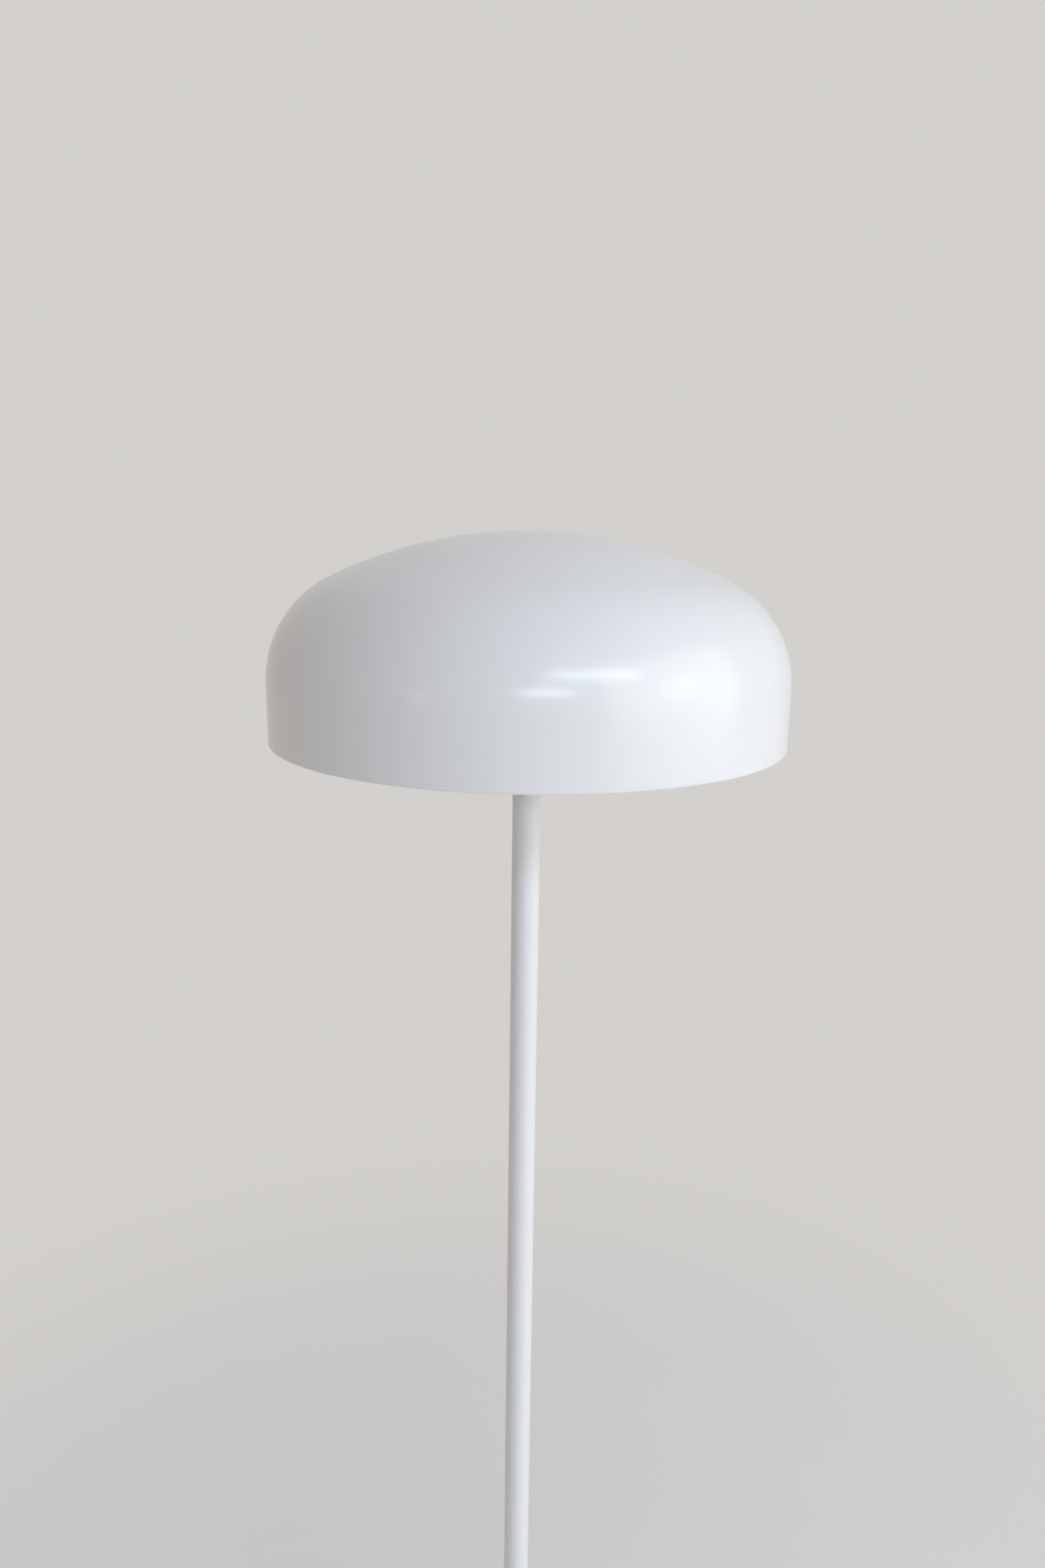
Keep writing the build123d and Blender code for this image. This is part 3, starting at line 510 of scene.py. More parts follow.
def keep(name, shape, place=Matrix()):
    """Puts a finished shape in the scene, with its place in its mesh."""
    bmesh.ops.transform(shape, matrix=place, verts=shape.verts)
    mesh = bpy.data.meshes.new(name)
    shape.to_mesh(mesh)
    shape.free()
    piece = bpy.data.objects.new(name, mesh)
    scene.collection.objects.link(piece)
    return piece


def tidy_mesh(piece):
    """Smooth faces, with the true edges kept sharp."""
    piece.data.shade_smooth()
    piece.data.set_sharp_from_angle(angle=SHARP)
    return piece


def turned(name, outline, centre=(0.0, 0.0), loop=True, steps=128, place=Matrix()):
    """Spins an outline of (radius, height) points about the upright axis through centre."""
    lathe = bmesh.new()
    points = [lathe.verts.new((centre[0] + radius, centre[1], height)) for radius, height in outline]
    pairs = zip(points, points[1:] + points[:1]) if loop else zip(points, points[1:])
    edges = [lathe.edges.new(pair) for pair in pairs]
    axis = Vector((*centre, 0.0))
    whole = 2 * math.pi
    bmesh.ops.spin(lathe, geom=points + edges, cent=axis, axis=(0, 0, 1), angle=whole, steps=steps)
    bmesh.ops.remove_doubles(lathe, verts=lathe.verts, dist=SAME_PLACE)
    bmesh.ops.recalc_face_normals(lathe, faces=lathe.faces)
    assert lathe.calc_volume(signed=True) > 0, f"{name} is inside out"
    return tidy_mesh(keep(name, lathe, place))


print("lathe ready")

# %% [markdown]
# ## Standing in for a solid
# A finished piece takes over from one solid: it rides on the same body, so it moves with the same
# joint, and it carries the same finish. Printing how far the two boxes differ shows at once when a
# piece was made too large or in the wrong place.


# %% Hand a finished piece its solid's place
def stand_for(piece, node):
    """The piece rides and is coated as its solid is, and the solid is hidden."""
    low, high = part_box(node)
    off = 0.0
    for axis in range(3):
        places = [vertex.co[axis] for vertex in piece.data.vertices]
        off = max(off, abs(min(places) - low[axis]), abs(max(places) - high[axis]))
    piece.data.materials.clear()
    piece.data.materials.append(finishes[slot_of[node]])
    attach(piece, frame["nodes"][node]["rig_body"])
    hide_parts(node)
    print(f"{piece.name}: {len(piece.data.polygons)} faces, box within {off / MM:.2f} mm of {node}")


# %% [markdown]
# ## The spun dome
# The shade is a disc of aluminium pressed over a spinning former: a short straight wall, one soft
# shoulder and a shallow crown, with the rim folded inwards so that it is stiff and safe to touch.
# It could be a lathe outline too, but it is the lamp's main form and follows a rule, so it is a
# tree: two skins of the same profile, one sheet thickness apart, and the half-round fold between.
# Going along the profile, the wall comes first, then the shoulder turns, then the crown turns.


# %% Write the dome's rule
def unit_grid(tree, steps_up, steps_round):
    """A flat grid with wires that go from 0 to 1 up it and round it."""
    sizes = {"Size X": 1.0, "Size Y": 1.0, "Vertices X": steps_up, "Vertices Y": steps_round}
    across, deep, _ = add_node(tree, "GeometryNodeInputPosition").split()
    return add_node(tree, "GeometryNodeMeshGrid", sizes), across + 0.5, deep + 0.5


def wrap(tree, sheet, around, reach, height):
    """Lays a grid round the stem's axis, at a reach and a height."""
    turn = around * (2 * math.pi)
    place = join_xyz(tree, reach * turn.cos(), reach * turn.sin(), height)
    return add_node(tree, "GeometryNodeSetPosition", {"Geometry": sheet, "Position": place})


def dome_skin(tree, size, inset, lowest, crown_turn):
    """One skin of the dome, as a grid laid on the profile and round the axis."""
    shoulder, crown, wall = size["Shoulder Radius"], size["Crown Radius"], size["Wall Height"]
    shoulder_length = shoulder * crown_turn
    whole = wall + shoulder_length + crown * (math.pi / 2 - crown_turn)
    sheet, up, around = unit_grid(tree, size["Steps Up"], size["Steps Round"])
    along = up * (whole - lowest) + lowest
    bend = ((along - wall) / shoulder).clamp(0.0, crown_turn)
    roll = ((along - wall - shoulder_length) / crown).math("MAXIMUM", 0.0)
    slope = bend + roll
    over = crown_turn + roll
    reach = size["Radius"] - shoulder + shoulder * bend.cos() + crown * (over.cos() - crown_turn.cos())
    rise = along.math("MINIMUM", wall) + shoulder * bend.sin() + crown * (over.sin() - crown_turn.sin())
    height = rise - inset * slope.sin() + size["Rim Height"]
    return wrap(tree, sheet, around, reach - inset * slope.cos(), height)


print("dome rule ready")

# %% [markdown]
# The rim's fold is a half circle as wide as the hem, and the hem's inner face runs up from it and
# slants back to the sheet. The four grids share their steps round the axis, so merging the doubles
# closes them into one skin, seam and pole included.

# %% Grow the dome
fold_rows = 13
face_rows = 9


def hem_fold(tree, size):
    """The half-round fold under the rim, from the outer wall to the hem's inner face."""
    half = size["Hem Thickness"] * 0.5
    sheet, share, around = unit_grid(tree, fold_rows, size["Steps Round"])
    turn = share * math.pi
    reach = size["Radius"] - half + half * turn.cos()
    return wrap(tree, sheet, around, reach, half - half * turn.sin() + size["Rim Height"])


def hem_face(tree, size):
    """The hem's inner face, and the slant that runs out to the sheet above it."""
    hem = size["Hem Thickness"]
    sheet, share, around = unit_grid(tree, face_rows, size["Steps Round"])
    lower, upper = (share * 2).clamp(0.0, 1.0), (share * 2 - 1).clamp(0.0, 1.0)
    reach = size["Radius"] - hem + upper * (hem - size["Thickness"])
    height = hem * 0.5 + lower * (size["Hem Height"] - hem * 0.5) + upper * hem
    return wrap(tree, sheet, around, reach, height + size["Rim Height"])


def dome_tree(sizes):
    tree, size = new_tree("Spun dome", sizes)
    shoulder = size["Shoulder Radius"]
    crown_turn = ((size["Radius"] - shoulder) / (size["Crown Radius"] - shoulder)).math("ARCCOSINE")
    hem_end = size["Hem Height"] + size["Hem Thickness"]
    outer = dome_skin(tree, size, size["Thickness"] * 0, size["Hem Thickness"] * 0.5, crown_turn)
    outer = add_node(tree, "GeometryNodeFlipFaces", [outer])
    inner = dome_skin(tree, size, size["Thickness"], hem_end, crown_turn)
    join = add_node(tree, "GeometryNodeJoinGeometry")
    for skin in (outer, inner, hem_fold(tree, size), hem_face(tree, size)):
        plug(join.socket.node.inputs[0], skin)
    closed = add_node(tree, "GeometryNodeMergeByDistance", {"Geometry": join, "Distance": 1e-6})
    return end_tree(tree, closed, size["Material"])


shade_low, shade_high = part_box("shade_shell")
dome_sizes = {
    "Radius": shade_high.x,
    "Wall Height": 50 * MM,
    "Shoulder Radius": 95 * MM,
    "Crown Radius": 378 * MM,
    "Thickness": 1.0 * MM,
    "Hem Height": 6 * MM,
    "Hem Thickness": 2.2 * MM,
    "Rim Height": shade_low.z,
    "Steps Round": 257,
    "Steps Up": 105,
    "Material": finishes["shade_coat"],
}
stand_for(grow("spun_dome", dome_tree(dome_sizes), dome_sizes), "shade_shell")

# %% [markdown]
# ## The stem
# Two lengths of steel tube screw together end to end, so one fine line runs round the stem at
# half height, where their bevelled ends meet. The tube's end is its only shape, so the outline is
# a plain wall with soft corners and the bevel at the joint.

# %% Turn the two tubes
tube_wall = 1.2 * MM
joint_bevel = 0.4 * MM
tube_edge = 0.1 * MM


def tube_outline(low, high, radius, bevel_low, bevel_high):
    """The wall of a tube, with a bevel on the outer edge of either end."""
    return [
        (radius - tube_wall, low),
        (radius - bevel_low, low),
        (radius, low + bevel_low),
        (radius, high - bevel_high),
        (radius - bevel_high, high),
        (radius - tube_wall, high),
    ]


lower_low, lower_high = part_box("lower_tube")
upper_low, upper_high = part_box("upper_tube")
stem_radius = lower_high.x
lower_outline = tube_outline(lower_low.z, lower_high.z, stem_radius, tube_edge, joint_bevel)
upper_outline = tube_outline(upper_low.z, upper_high.z, stem_radius, joint_bevel, tube_edge)
stand_for(turned("lower_stem_tube", soften(lower_outline, tube_edge)), "lower_tube")
stand_for(turned("upper_stem_tube", soften(upper_outline, tube_edge)), "upper_tube")

# %% [markdown]
# The plug in the top of the stem ends in a flange of the tube's own width. Only the flange shows,
# under the lampholder. Its thread hole is made as wide as the solid's.

# %% Turn the plug at the top of the stem
plug_low, plug_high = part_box("top_insert")
thread_hole = 5.05 * MM
plug_radius = stem_radius - tube_wall - 0.02 * MM
plug_outline = [
    (thread_hole, plug_low.z),
    (plug_radius, plug_low.z),
    (plug_radius, upper_high.z),
    (stem_radius, upper_high.z),
    (stem_radius, plug_high.z - joint_bevel),
    (stem_radius - joint_bevel, plug_high.z),
    (thread_hole, plug_high.z),
]
stand_for(turned("stem_plug", soften(plug_outline, 0.15 * MM)), "top_insert")

# %% [markdown]
# ## The collar and the base
# A turned collar hides the hole where the stem enters the base. The base itself is a shallow spun
# cover over a cast weight. Its outline is a lathe outline again, but it has two holes off the
# axis, for the switch and for the lead, so those are cut from the spun body afterwards. The points
# across its top keep the flat there from shading like a hollow round the holes.

# %% Turn the collar and the base cover
collar_low, collar_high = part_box("foot_collar")
collar_radius = collar_high.x
collar_bore = 12.65 * MM
collar_edge = 5.1 * MM
collar_corner = (collar_radius - collar_edge, collar_high.z - collar_edge)
collar_outline = [
    (collar_bore, collar_low.z),
    (collar_radius, collar_low.z),
    *arc(collar_corner, collar_edge, 0, 90),
    (collar_bore, collar_high.z),
]
stand_for(turned("foot_ring", soften(collar_outline, 0.2 * MM)), "foot_collar")

cover_low, cover_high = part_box("base_cover")
cover_radius = cover_high.x
cover_wall = 1.2 * MM
cover_edge = 9 * MM
cover_corner = (cover_radius - cover_edge, cover_high.z - cover_edge)
bolt_hole = 5.3 * MM
flat_start = cover_corner[0] - 0.5 * MM
flat_rings = 14
base_steps = 192
cover_outline = [
    (cover_radius - cover_wall, cover_low.z),
    (cover_radius, cover_low.z),
    *arc(cover_corner, cover_edge, 0, 90),
    (flat_start, cover_high.z),
    *across_flat(cover_corner[0], bolt_hole, cover_high.z, flat_rings),
    (bolt_hole, cover_high.z),
    (bolt_hole, cover_high.z - cover_wall),
    *arc(cover_corner, cover_edge - cover_wall, 90, 0),
]
cover = turned("spun_base", soften(cover_outline, 0.2 * MM), steps=base_steps)

# %% [markdown]
# A hole is cut with a plain rod. Its faces could be deleted by hand and the edge closed again, but
# a Boolean modifier leaves a closed body. The switch's place comes from its button and the gland's
# from its bore, so that the holes follow the solids. A turn of a quarter about X lays an upright
# body along the gland's axis.


# %% Cut the two holes of the base
def combine(piece, other, operation):
    """Joins or cuts two closed meshes for good, and removes the other piece."""
    modifier = piece.modifiers.new("combine", "BOOLEAN")
    modifier.operation = operation
    modifier.solver = "EXACT"
    modifier.object = other
    bpy.context.view_layer.update()
    piece.data = evaluated_mesh(piece)
    bpy.data.objects.remove(other)
    return tidy_mesh(piece)


def rod(radius, low, high, centre=(0.0, 0.0), place=Matrix(), steps=64):
    """A plain closed cylinder to cut with."""
    ends = [(0.0, low), (radius, low), (radius, high), (0.0, high)]
    return turned("cutter", ends, centre, loop=False, steps=steps, place=place)


button_low, button_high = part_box("switch_button")
switch_axis = ((button_low.x + button_high.x) / 2, 0.0)
switch_hole_radius = 15.1 * MM
gland_low, gland_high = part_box("cord_gland")
gland_hole_radius = 4.45 * MM
gland_height = (gland_low.z + gland_high.z) / 2
along_gland = Matrix.Translation((0, 0, gland_height)) @ Matrix.Rotation(-math.pi / 2, 4, "X")
inside, outside = -3 * cover_wall, cover_wall
switch_hole = rod(switch_hole_radius, cover_high.z + inside, cover_high.z + outside, switch_axis)
gland_hole = rod(gland_hole_radius, cover_radius + inside, cover_radius + outside, place=along_gland)
combine(cover, switch_hole, "DIFFERENCE")
combine(cover, gland_hole, "DIFFERENCE")
stand_for(cover, "base_cover")

# %% [markdown]
# ## Copies round the axis
# Screws, feet, studs, nuts and arms all sit evenly on a circle. One of each is made at the axis,
# facing out along X, and a tree copies it to its places. An array modifier could do this as well;
# the tree has the circle's radius, the count and the first angle as plain inputs.


# %% Grow copies on a circle
def copies_tree(sizes):
    tree, size = new_tree("Copies on a circle", sizes, takes_mesh=True)
    points = add_node(tree, "GeometryNodePoints", {"Count": size["Count"]})
    index = add_node(tree, "GeometryNodeInputIndex")
    turn = index / size["Count"] * (2 * math.pi) + size["First Angle"]
    reach = size["Circle Radius"]
    place = join_xyz(tree, reach * turn.cos(), reach * turn.sin(), size["Height"])
    placed = add_node(tree, "GeometryNodeSetPosition", {"Geometry": points, "Position": place})
    sockets = {"Points": placed, "Instance": size["Geometry"], "Rotation": join_xyz(tree, 0.0, 0.0, turn)}
    copies = add_node(tree, "GeometryNodeInstanceOnPoints", sockets)
    return end_tree(tree, copies, size["Material"])


copy_sizes = {
    "Count": 1,
    "Circle Radius": 0.0,
    "First Angle": 0.0,
    "Height": 0.0,
    "Material": finishes["stem_coat"],
}
copies = copies_tree(copy_sizes)


def ring_of(one, name, node, count, radius, height, first_angle=0.0):
    """Copies a piece evenly round the axis, and uses up the single one."""
    sizes = {"Count": count, "Circle Radius": radius, "First Angle": first_angle, "Height": height}
    return tidy_mesh(grow(name, copies, {**sizes, "Material": finishes[slot_of[node]]}, blank=one))


print("ready to copy")

# %% [markdown]
# ## Under the base
# A flat steel plate closes the base, held by four screws, and four rubber feet keep it off the
# floor. The plate is turned, and its four holes are one body of copied rods, cut in one go.

# %% Make the bottom plate
plate_low, plate_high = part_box("bottom_plate")
plate_radius = plate_high.x
plate_outline = [
    (0.0, plate_low.z),
    (plate_radius, plate_low.z),
    (plate_radius, plate_high.z),
    (0.0, plate_high.z),
]
screw_count = 4
screw_circle = 112 * MM
screw_hole = 2.3 * MM
past_plate = 2 * MM
between_feet = math.pi / 4
plate = turned("steel_plate", soften(plate_outline, 0.2 * MM, loop=False), loop=False, steps=base_steps)
hole = rod(screw_hole, -past_plate, past_plate, steps=32)
holes = ring_of(hole, "screw_holes", "bottom_plate", screw_count, screw_circle, plate_low.z, between_feet)
combine(plate, holes, "DIFFERENCE")
stand_for(plate, "bottom_plate")

# %% [markdown]
# The screws have a pan head with a cross recess, which is two slots at right angles. A recess
# could be a dark picture on a disc. Cut slots hold their own shadow from every side.

# %% Make the screws
thread_pitch_fine = 0.7 * MM
thread_depth_fine = 0.35 * MM
shank_radius = 2 * MM
head_radius = 3.8 * MM
head_flat = 0.7 * head_radius
slot_length = 1.1 * head_radius
slot_width = 1.0 * MM


def cross_slots(depth, face):
    """Two slots at right angles, cut up into a face that looks down."""
    for turn in (0.0, math.pi / 2):
        block = bmesh.new()
        shape = Matrix.Diagonal((slot_length, slot_width, 2 * depth, 1.0))
        place = Matrix.Translation((0, 0, face)) @ Matrix.Rotation(turn, 4, "Z") @ shape
        bmesh.ops.create_cube(block, size=1.0, matrix=place)
        yield keep("slot", block)


def pan_screw(head_height, length):
    """A screw with its head down: a domed rim, a pitched shank and a cross recess."""
    shank = []
    for turn in range(int(length / thread_pitch_fine) - 1):
        shank.append((shank_radius - thread_depth_fine, thread_pitch_fine * (turn + 0.5)))
        shank.append((shank_radius, thread_pitch_fine * (turn + 1.0)))
    head = [(0.0, -head_height), (head_flat, -head_height), (head_radius, -0.45 * head_height)]
    head = soften([*head, (head_radius, 0.0)], 0.5 * MM, loop=False)
    outline = [*head, (shank_radius, 0.0), *shank, (0.0, length)]
    screw = turned("pan_screw", outline, loop=False, steps=32)
    for slot in cross_slots(0.6 * head_height, -head_height):
        combine(screw, slot, "DIFFERENCE")
    return screw


screw_low, screw_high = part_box("plate_screws")
screw = pan_screw(plate_low.z - screw_low.z, screw_high.z - plate_low.z)
screws = ring_of(
    screw, "plate_pan_screws", "plate_screws", screw_count, screw_circle, plate_low.z, between_feet
)
stand_for(screws, "plate_screws")

# %% [markdown]
# The rubber foot is slightly tapered, as a moulded foot is so that it leaves its mould.

# %% Mould the feet
foot_low, foot_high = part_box("rubber_feet")
foot_height = foot_high.z - foot_low.z
foot_radius = 9 * MM
foot_count = 4
foot_taper = math.radians(12)
foot_tip = foot_radius - foot_height * math.tan(foot_taper)
foot_outline = [(0.0, -foot_height), (foot_tip, -foot_height), (foot_radius, 0.0), (0.0, 0.0)]
foot = turned("foot", soften(foot_outline, 0.5 * MM, loop=False), loop=False, steps=64)
feet = ring_of(foot, "foot_pads", "rubber_feet", foot_count, foot_high.x - foot_radius, foot_high.z)
stand_for(feet, "rubber_feet")

# %% [markdown]
# ## The lead's gland
# The mains lead comes in through a moulded gland that snaps into the back of the base: a bevelled
# flange outside, a neck through the wall, and a barbed tail inside. It is turned upright and laid
# along its axis, with heights that stand for distances from the stem.

# %% Turn the gland
gland_bore = 3.2 * MM
gland_neck = 4.4 * MM
gland_flange = 6 * MM
gland_barb = 5.2 * MM
barb_face = cover_radius - cover_wall - 0.3 * MM
gland_outline = [
    (gland_bore, gland_low.y),
    (gland_neck, gland_low.y),
    (gland_barb, barb_face),
    (gland_neck, barb_face),
    (gland_neck, cover_radius),
    (gland_flange, cover_radius),
    (0.85 * gland_flange, gland_high.y),
    (gland_bore, gland_high.y),
]
stand_for(turned("gland_moulding", soften(gland_outline), steps=64, place=along_gland), "cord_gland")

# %% [markdown]
# ## The foot switch
# The switch sits in a round bezel near the edge of the base, and its push button stands a little
# proud so that a foot finds it. Both are moulded round, so they come off the lathe too.

# %% Turn the bezel and the button
bezel_low, bezel_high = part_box("switch_bezel")
bezel_radius = bezel_high.x - switch_axis[0]
bezel_lip = 2 * MM
bezel_neck = 14.85 * MM
button_hole = 12.5 * MM
bezel_outline = [
    (bezel_neck, bezel_low.z),
    (bezel_radius, bezel_low.z),
    (bezel_radius, bezel_high.z - bezel_lip / 2),
    (bezel_radius - bezel_lip / 2, bezel_high.z),
    (button_hole, bezel_high.z),
    (button_hole, bezel_high.z - bezel_lip),
    (bezel_neck, bezel_high.z - bezel_lip),
]
stand_for(turned("switch_ring", soften(bezel_outline), switch_axis), "switch_bezel")

button_flange = button_high.x - switch_axis[0]
button_radius = 12.2 * MM
button_wall = 2 * MM
button_crown = 2.5 * MM
flange_rise = 2 * MM
crown_corner = (button_radius - button_crown, button_high.z - button_crown)
button_outline = [
    (0.0, button_high.z - button_wall),
    (button_radius - button_wall, button_high.z - button_wall),
    (button_radius - button_wall, button_low.z),
    (button_flange, button_low.z),
    (button_flange, button_low.z + flange_rise),
    (button_radius, button_low.z + flange_rise),
    *arc(crown_corner, button_crown, 0, 90, steps=10),
    (0.0, button_high.z),
]
button = turned("push_button", soften(button_outline, 0.2 * MM, loop=False), switch_axis, loop=False)
stand_for(button, "switch_button")

# %% [markdown]
# Under the button a spring pushes it back. The spring is a wire along a helix, so a tree makes it
# from its radius, rise and turns.

# %% Grow the return spring
wire_sides = 12


def spring_tree(sizes):
    tree, size = new_tree("Return spring", sizes)
    sockets = {
        "Resolution": size["Steps Per Turn"],
        "Rotations": size["Turns"],
        "Start Radius": size["Coil Radius"],
        "End Radius": size["Coil Radius"],
        "Height": size["Rise"],
    }
    helix = add_node(tree, "GeometryNodeCurveSpiral", sockets)
    section = {"Resolution": wire_sides, "Radius": size["Wire Radius"]}
    wire = add_node(tree, "GeometryNodeCurvePrimitiveCircle", section)
    swept = {"Curve": helix, "Profile Curve": wire, "Fill Caps": True}
    coil = add_node(tree, "GeometryNodeCurveToMesh", swept)
    offset = join_xyz(tree, size["Across"], 0.0, size["Lowest"])
    moved = add_node(tree, "GeometryNodeTransform", {"Geometry": coil, "Translation": offset})
    return end_tree(tree, moved, size["Material"])


spring_low, spring_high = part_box("switch_spring")
spring_height = spring_high.z - spring_low.z
wire_radius = 0.5 * MM
spring_sizes = {
    "Coil Radius": (spring_high.x - spring_low.x) / 2 - wire_radius,
    "Wire Radius": wire_radius,
    "Rise": spring_height - 2 * wire_radius,
    "Turns": 8.0,
    "Across": switch_axis[0],
    "Lowest": spring_low.z + wire_radius,
    "Steps Per Turn": 40,
    "Material": finishes["zinc_steel"],
}
spring = grow("return_spring", spring_tree(spring_sizes), spring_sizes)
stand_for(spring, "switch_spring")
press = next(joint for joint in frame["joints"] if joint["name"] == "foot_switch_press")
left = 1 - press["range_m"][1] / spring_height
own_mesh(spring)

# %% [markdown]
# ## The lampholder
# Inside the shade, the lampholder's body is a cone with a skirt screwed onto it. The skirt has an
# external thread, on which two scalloped rings clamp the spider that carries the shade. The solid
# shows that thread as plain rings. Here a tree lifts a true right-hand helix out of a turned body:
# a point's phase is its height, less the height that the helix has climbed at its angle.

# %% Grow the threaded skirt
flank = 0.3
crest_end = 0.5
run_in_share = 0.6
skin = 0.05 * MM
thread_rows = 144


def thread_tree(sizes):
    tree, size = new_tree("Screw thread", sizes, takes_mesh=True)
    across, deep, height = add_node(tree, "GeometryNodeInputPosition").split()
    reach = distance_out(across, deep)
    climbed = deep.math("ARCTAN2", across) / (2 * math.pi)
    phase = ((height - size["Start"]) / size["Pitch"] - climbed).math("FRACT")
    ridge = phase.ramp(0.0, flank) - phase.ramp(crest_end, crest_end + flank)
    run_in = (height - size["Start"]) / (size["Pitch"] * run_in_share)
    run_out = (size["End"] - height) / (size["Pitch"] * run_in_share)
    fade = run_in.math("MINIMUM", run_out).clamp(0.0, 1.0)
    on_outside = reach.math("GREATER_THAN", size["Root Radius"] - skin)
    grow_by = ridge * fade * on_outside * size["Depth"] / reach
    lift = join_xyz(tree, across * grow_by, deep * grow_by, 0.0)
    cut = add_node(tree, "GeometryNodeSetPosition", {"Geometry": size["Geometry"], "Offset": lift})
    return end_tree(tree, cut, size["Material"])


skirt_low, skirt_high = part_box("holder_skirt")
thread_depth = 0.9 * MM
thread_pitch = 3 * MM
thread_start = skirt_low.z + 3 * MM
thread_end = thread_start + 9 * thread_pitch
skirt_root = skirt_high.x - thread_depth
skirt_inner = 17.1 * MM
skirt_lip = 2 * MM
rise = thread_end - thread_start
row_heights = [thread_start + rise * row / thread_rows for row in range(thread_rows + 1)]
skirt_outline = [
    (skirt_inner, skirt_high.z - skirt_lip),
    (skirt_inner, skirt_low.z),
    (skirt_root, skirt_low.z),
    *[(skirt_root, height) for height in row_heights],
    (skirt_root, skirt_high.z),
    (skirt_inner - skirt_lip, skirt_high.z),
    (skirt_inner - skirt_lip, skirt_high.z - skirt_lip),
]
thread_sizes = {
    "Root Radius": skirt_root,
    "Depth": thread_depth,
    "Pitch": thread_pitch,
    "Start": thread_start,
    "End": thread_end,
    "Material": finishes["white_plastic"],
}
blank = turned("skirt_blank", soften(skirt_outline, 0.25 * MM), steps=144)
stand_for(grow("threaded_skirt", thread_tree(thread_sizes), thread_sizes, blank), "holder_skirt")

# %% [markdown]
# The lower half of the lampholder is a moulded cone with a threaded neck, and the lead rises
# through it. It is a lathe outline with the bore of the lamp thread at its foot.

# %% Turn the cone
cone_low, cone_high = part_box("holder_cap")
cone_neck = 11 * MM
cone_wall = 2 * MM
neck_top = cone_low.z + 9 * MM
floor_top = cone_low.z + 10 * MM
cone_top = cone_low.z + 19 * MM
cone_outline = [
    (thread_hole, cone_low.z),
    (cone_neck, cone_low.z),
    (cone_neck, neck_top),
    (skirt_root, cone_top),
    (skirt_root, cone_high.z),
    (skirt_inner, cone_high.z),
    (skirt_inner, cone_top),
    (cone_neck - cone_wall, floor_top),
    (thread_hole, floor_top),
]
stand_for(turned("holder_cone", soften(cone_outline, 0.6 * MM)), "holder_cap")

# %% [markdown]
# A nut is a hexagon whose corners are turned off at both ends. Crossing a hexagonal bar with a
# turned barrel gives those corners their curved facets, which a bevel would not.

# %% Shape the nut under the cone
chamfer_slope = math.tan(math.radians(30))
nut_clearance = 0.01 * MM
nut_steps = 60


def hex_nut(name, flats, thickness, bore):
    """A nut standing on the origin, with one corner towards +X."""
    corner = flats / math.sqrt(3)
    bar = bmesh.new()
    place = Matrix.Translation((0, 0, thickness / 2)) @ Matrix.Rotation(math.pi / 6, 4, "Z")
    sizes = {"radius1": corner, "radius2": corner, "depth": thickness}
    bmesh.ops.create_cone(bar, cap_ends=True, segments=6, matrix=place, **sizes)
    nut = keep(name, bar)
    drop = (corner - flats / 2) * chamfer_slope
    face_radius = flats / 2 * 1.002
    barrel = [
        (0.0, -nut_clearance),
        (face_radius, -nut_clearance),
        (corner + nut_clearance, drop),
        (corner + nut_clearance, thickness - drop),
        (face_radius, thickness + nut_clearance),
        (0.0, thickness + nut_clearance),
    ]
    combine(nut, turned("barrel", barrel, loop=False, steps=nut_steps), "INTERSECT")
    return combine(nut, rod(bore, -MM, thickness + MM, steps=nut_steps), "DIFFERENCE")


lock_low, lock_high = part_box("lock_nut")
lock_nut = hex_nut("zinc_lock_nut", 14 * MM, lock_high.z - lock_low.z, thread_hole)
lock_nut.data.transform(Matrix.Translation((0, 0, lock_low.z)))
stand_for(lock_nut, "lock_nut")

# %% [markdown]
# ## The two shade rings
# The rings that clamp the shade are scalloped all round, so that fingers can grip them. The rim of
# a finely stepped turned ring is drawn in by a half-round groove at each of its twenty-four
# places. Cutting with twenty-four rods would do it too, but leaves long thin faces.

# %% Grow the scalloped rings
fade_start = 2.5
fade_end = 0.3


def scallop_tree(sizes):
    tree, size = new_tree("Scalloped ring", sizes, takes_mesh=True)
    across, deep, _ = add_node(tree, "GeometryNodeInputPosition").split()
    reach = distance_out(across, deep)
    share = deep.math("ARCTAN2", across) / (2 * math.pi) * size["Count"]
    from_groove = (share - share.math("ROUND")) / size["Count"] * (2 * math.pi) * size["Radius"]
    groove = size["Groove Radius"]
    depth = (groove * groove - from_groove * from_groove).math("MAXIMUM", 0.0).math("SQRT")
    share_out = reach.ramp(size["Radius"] - groove * fade_start, size["Radius"] - groove * fade_end)
    shrink = depth * share_out / reach * -1
    pull = join_xyz(tree, across * shrink, deep * shrink, 0.0)
    cut = add_node(tree, "GeometryNodeSetPosition", {"Geometry": size["Geometry"], "Offset": pull})
    return end_tree(tree, cut, size["Material"])


ring_radius = 28 * MM
ring_thread = 20.05 * MM
ring_land = 24.5 * MM
ring_sizes = {
    "Radius": ring_radius,
    "Groove Radius": 1.3 * MM,
    "Count": 24,
    "Material": finishes["white_plastic"],
}
scallops = scallop_tree(ring_sizes)
for name, node in (
    ("scalloped_ring_below", "shade_ring_lower"),
    ("scalloped_ring_above", "shade_ring_upper"),
):
    low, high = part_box(node)
    under = [(radius, low.z) for radius in (ring_thread, ring_land, ring_radius)]
    over = [(radius, high.z) for radius in (ring_radius, ring_land, ring_thread)]
    blank = turned("ring_blank", soften(under + over, 0.6 * MM), steps=576)
    stand_for(tidy_mesh(grow(name, scallops, ring_sizes, blank)), node)

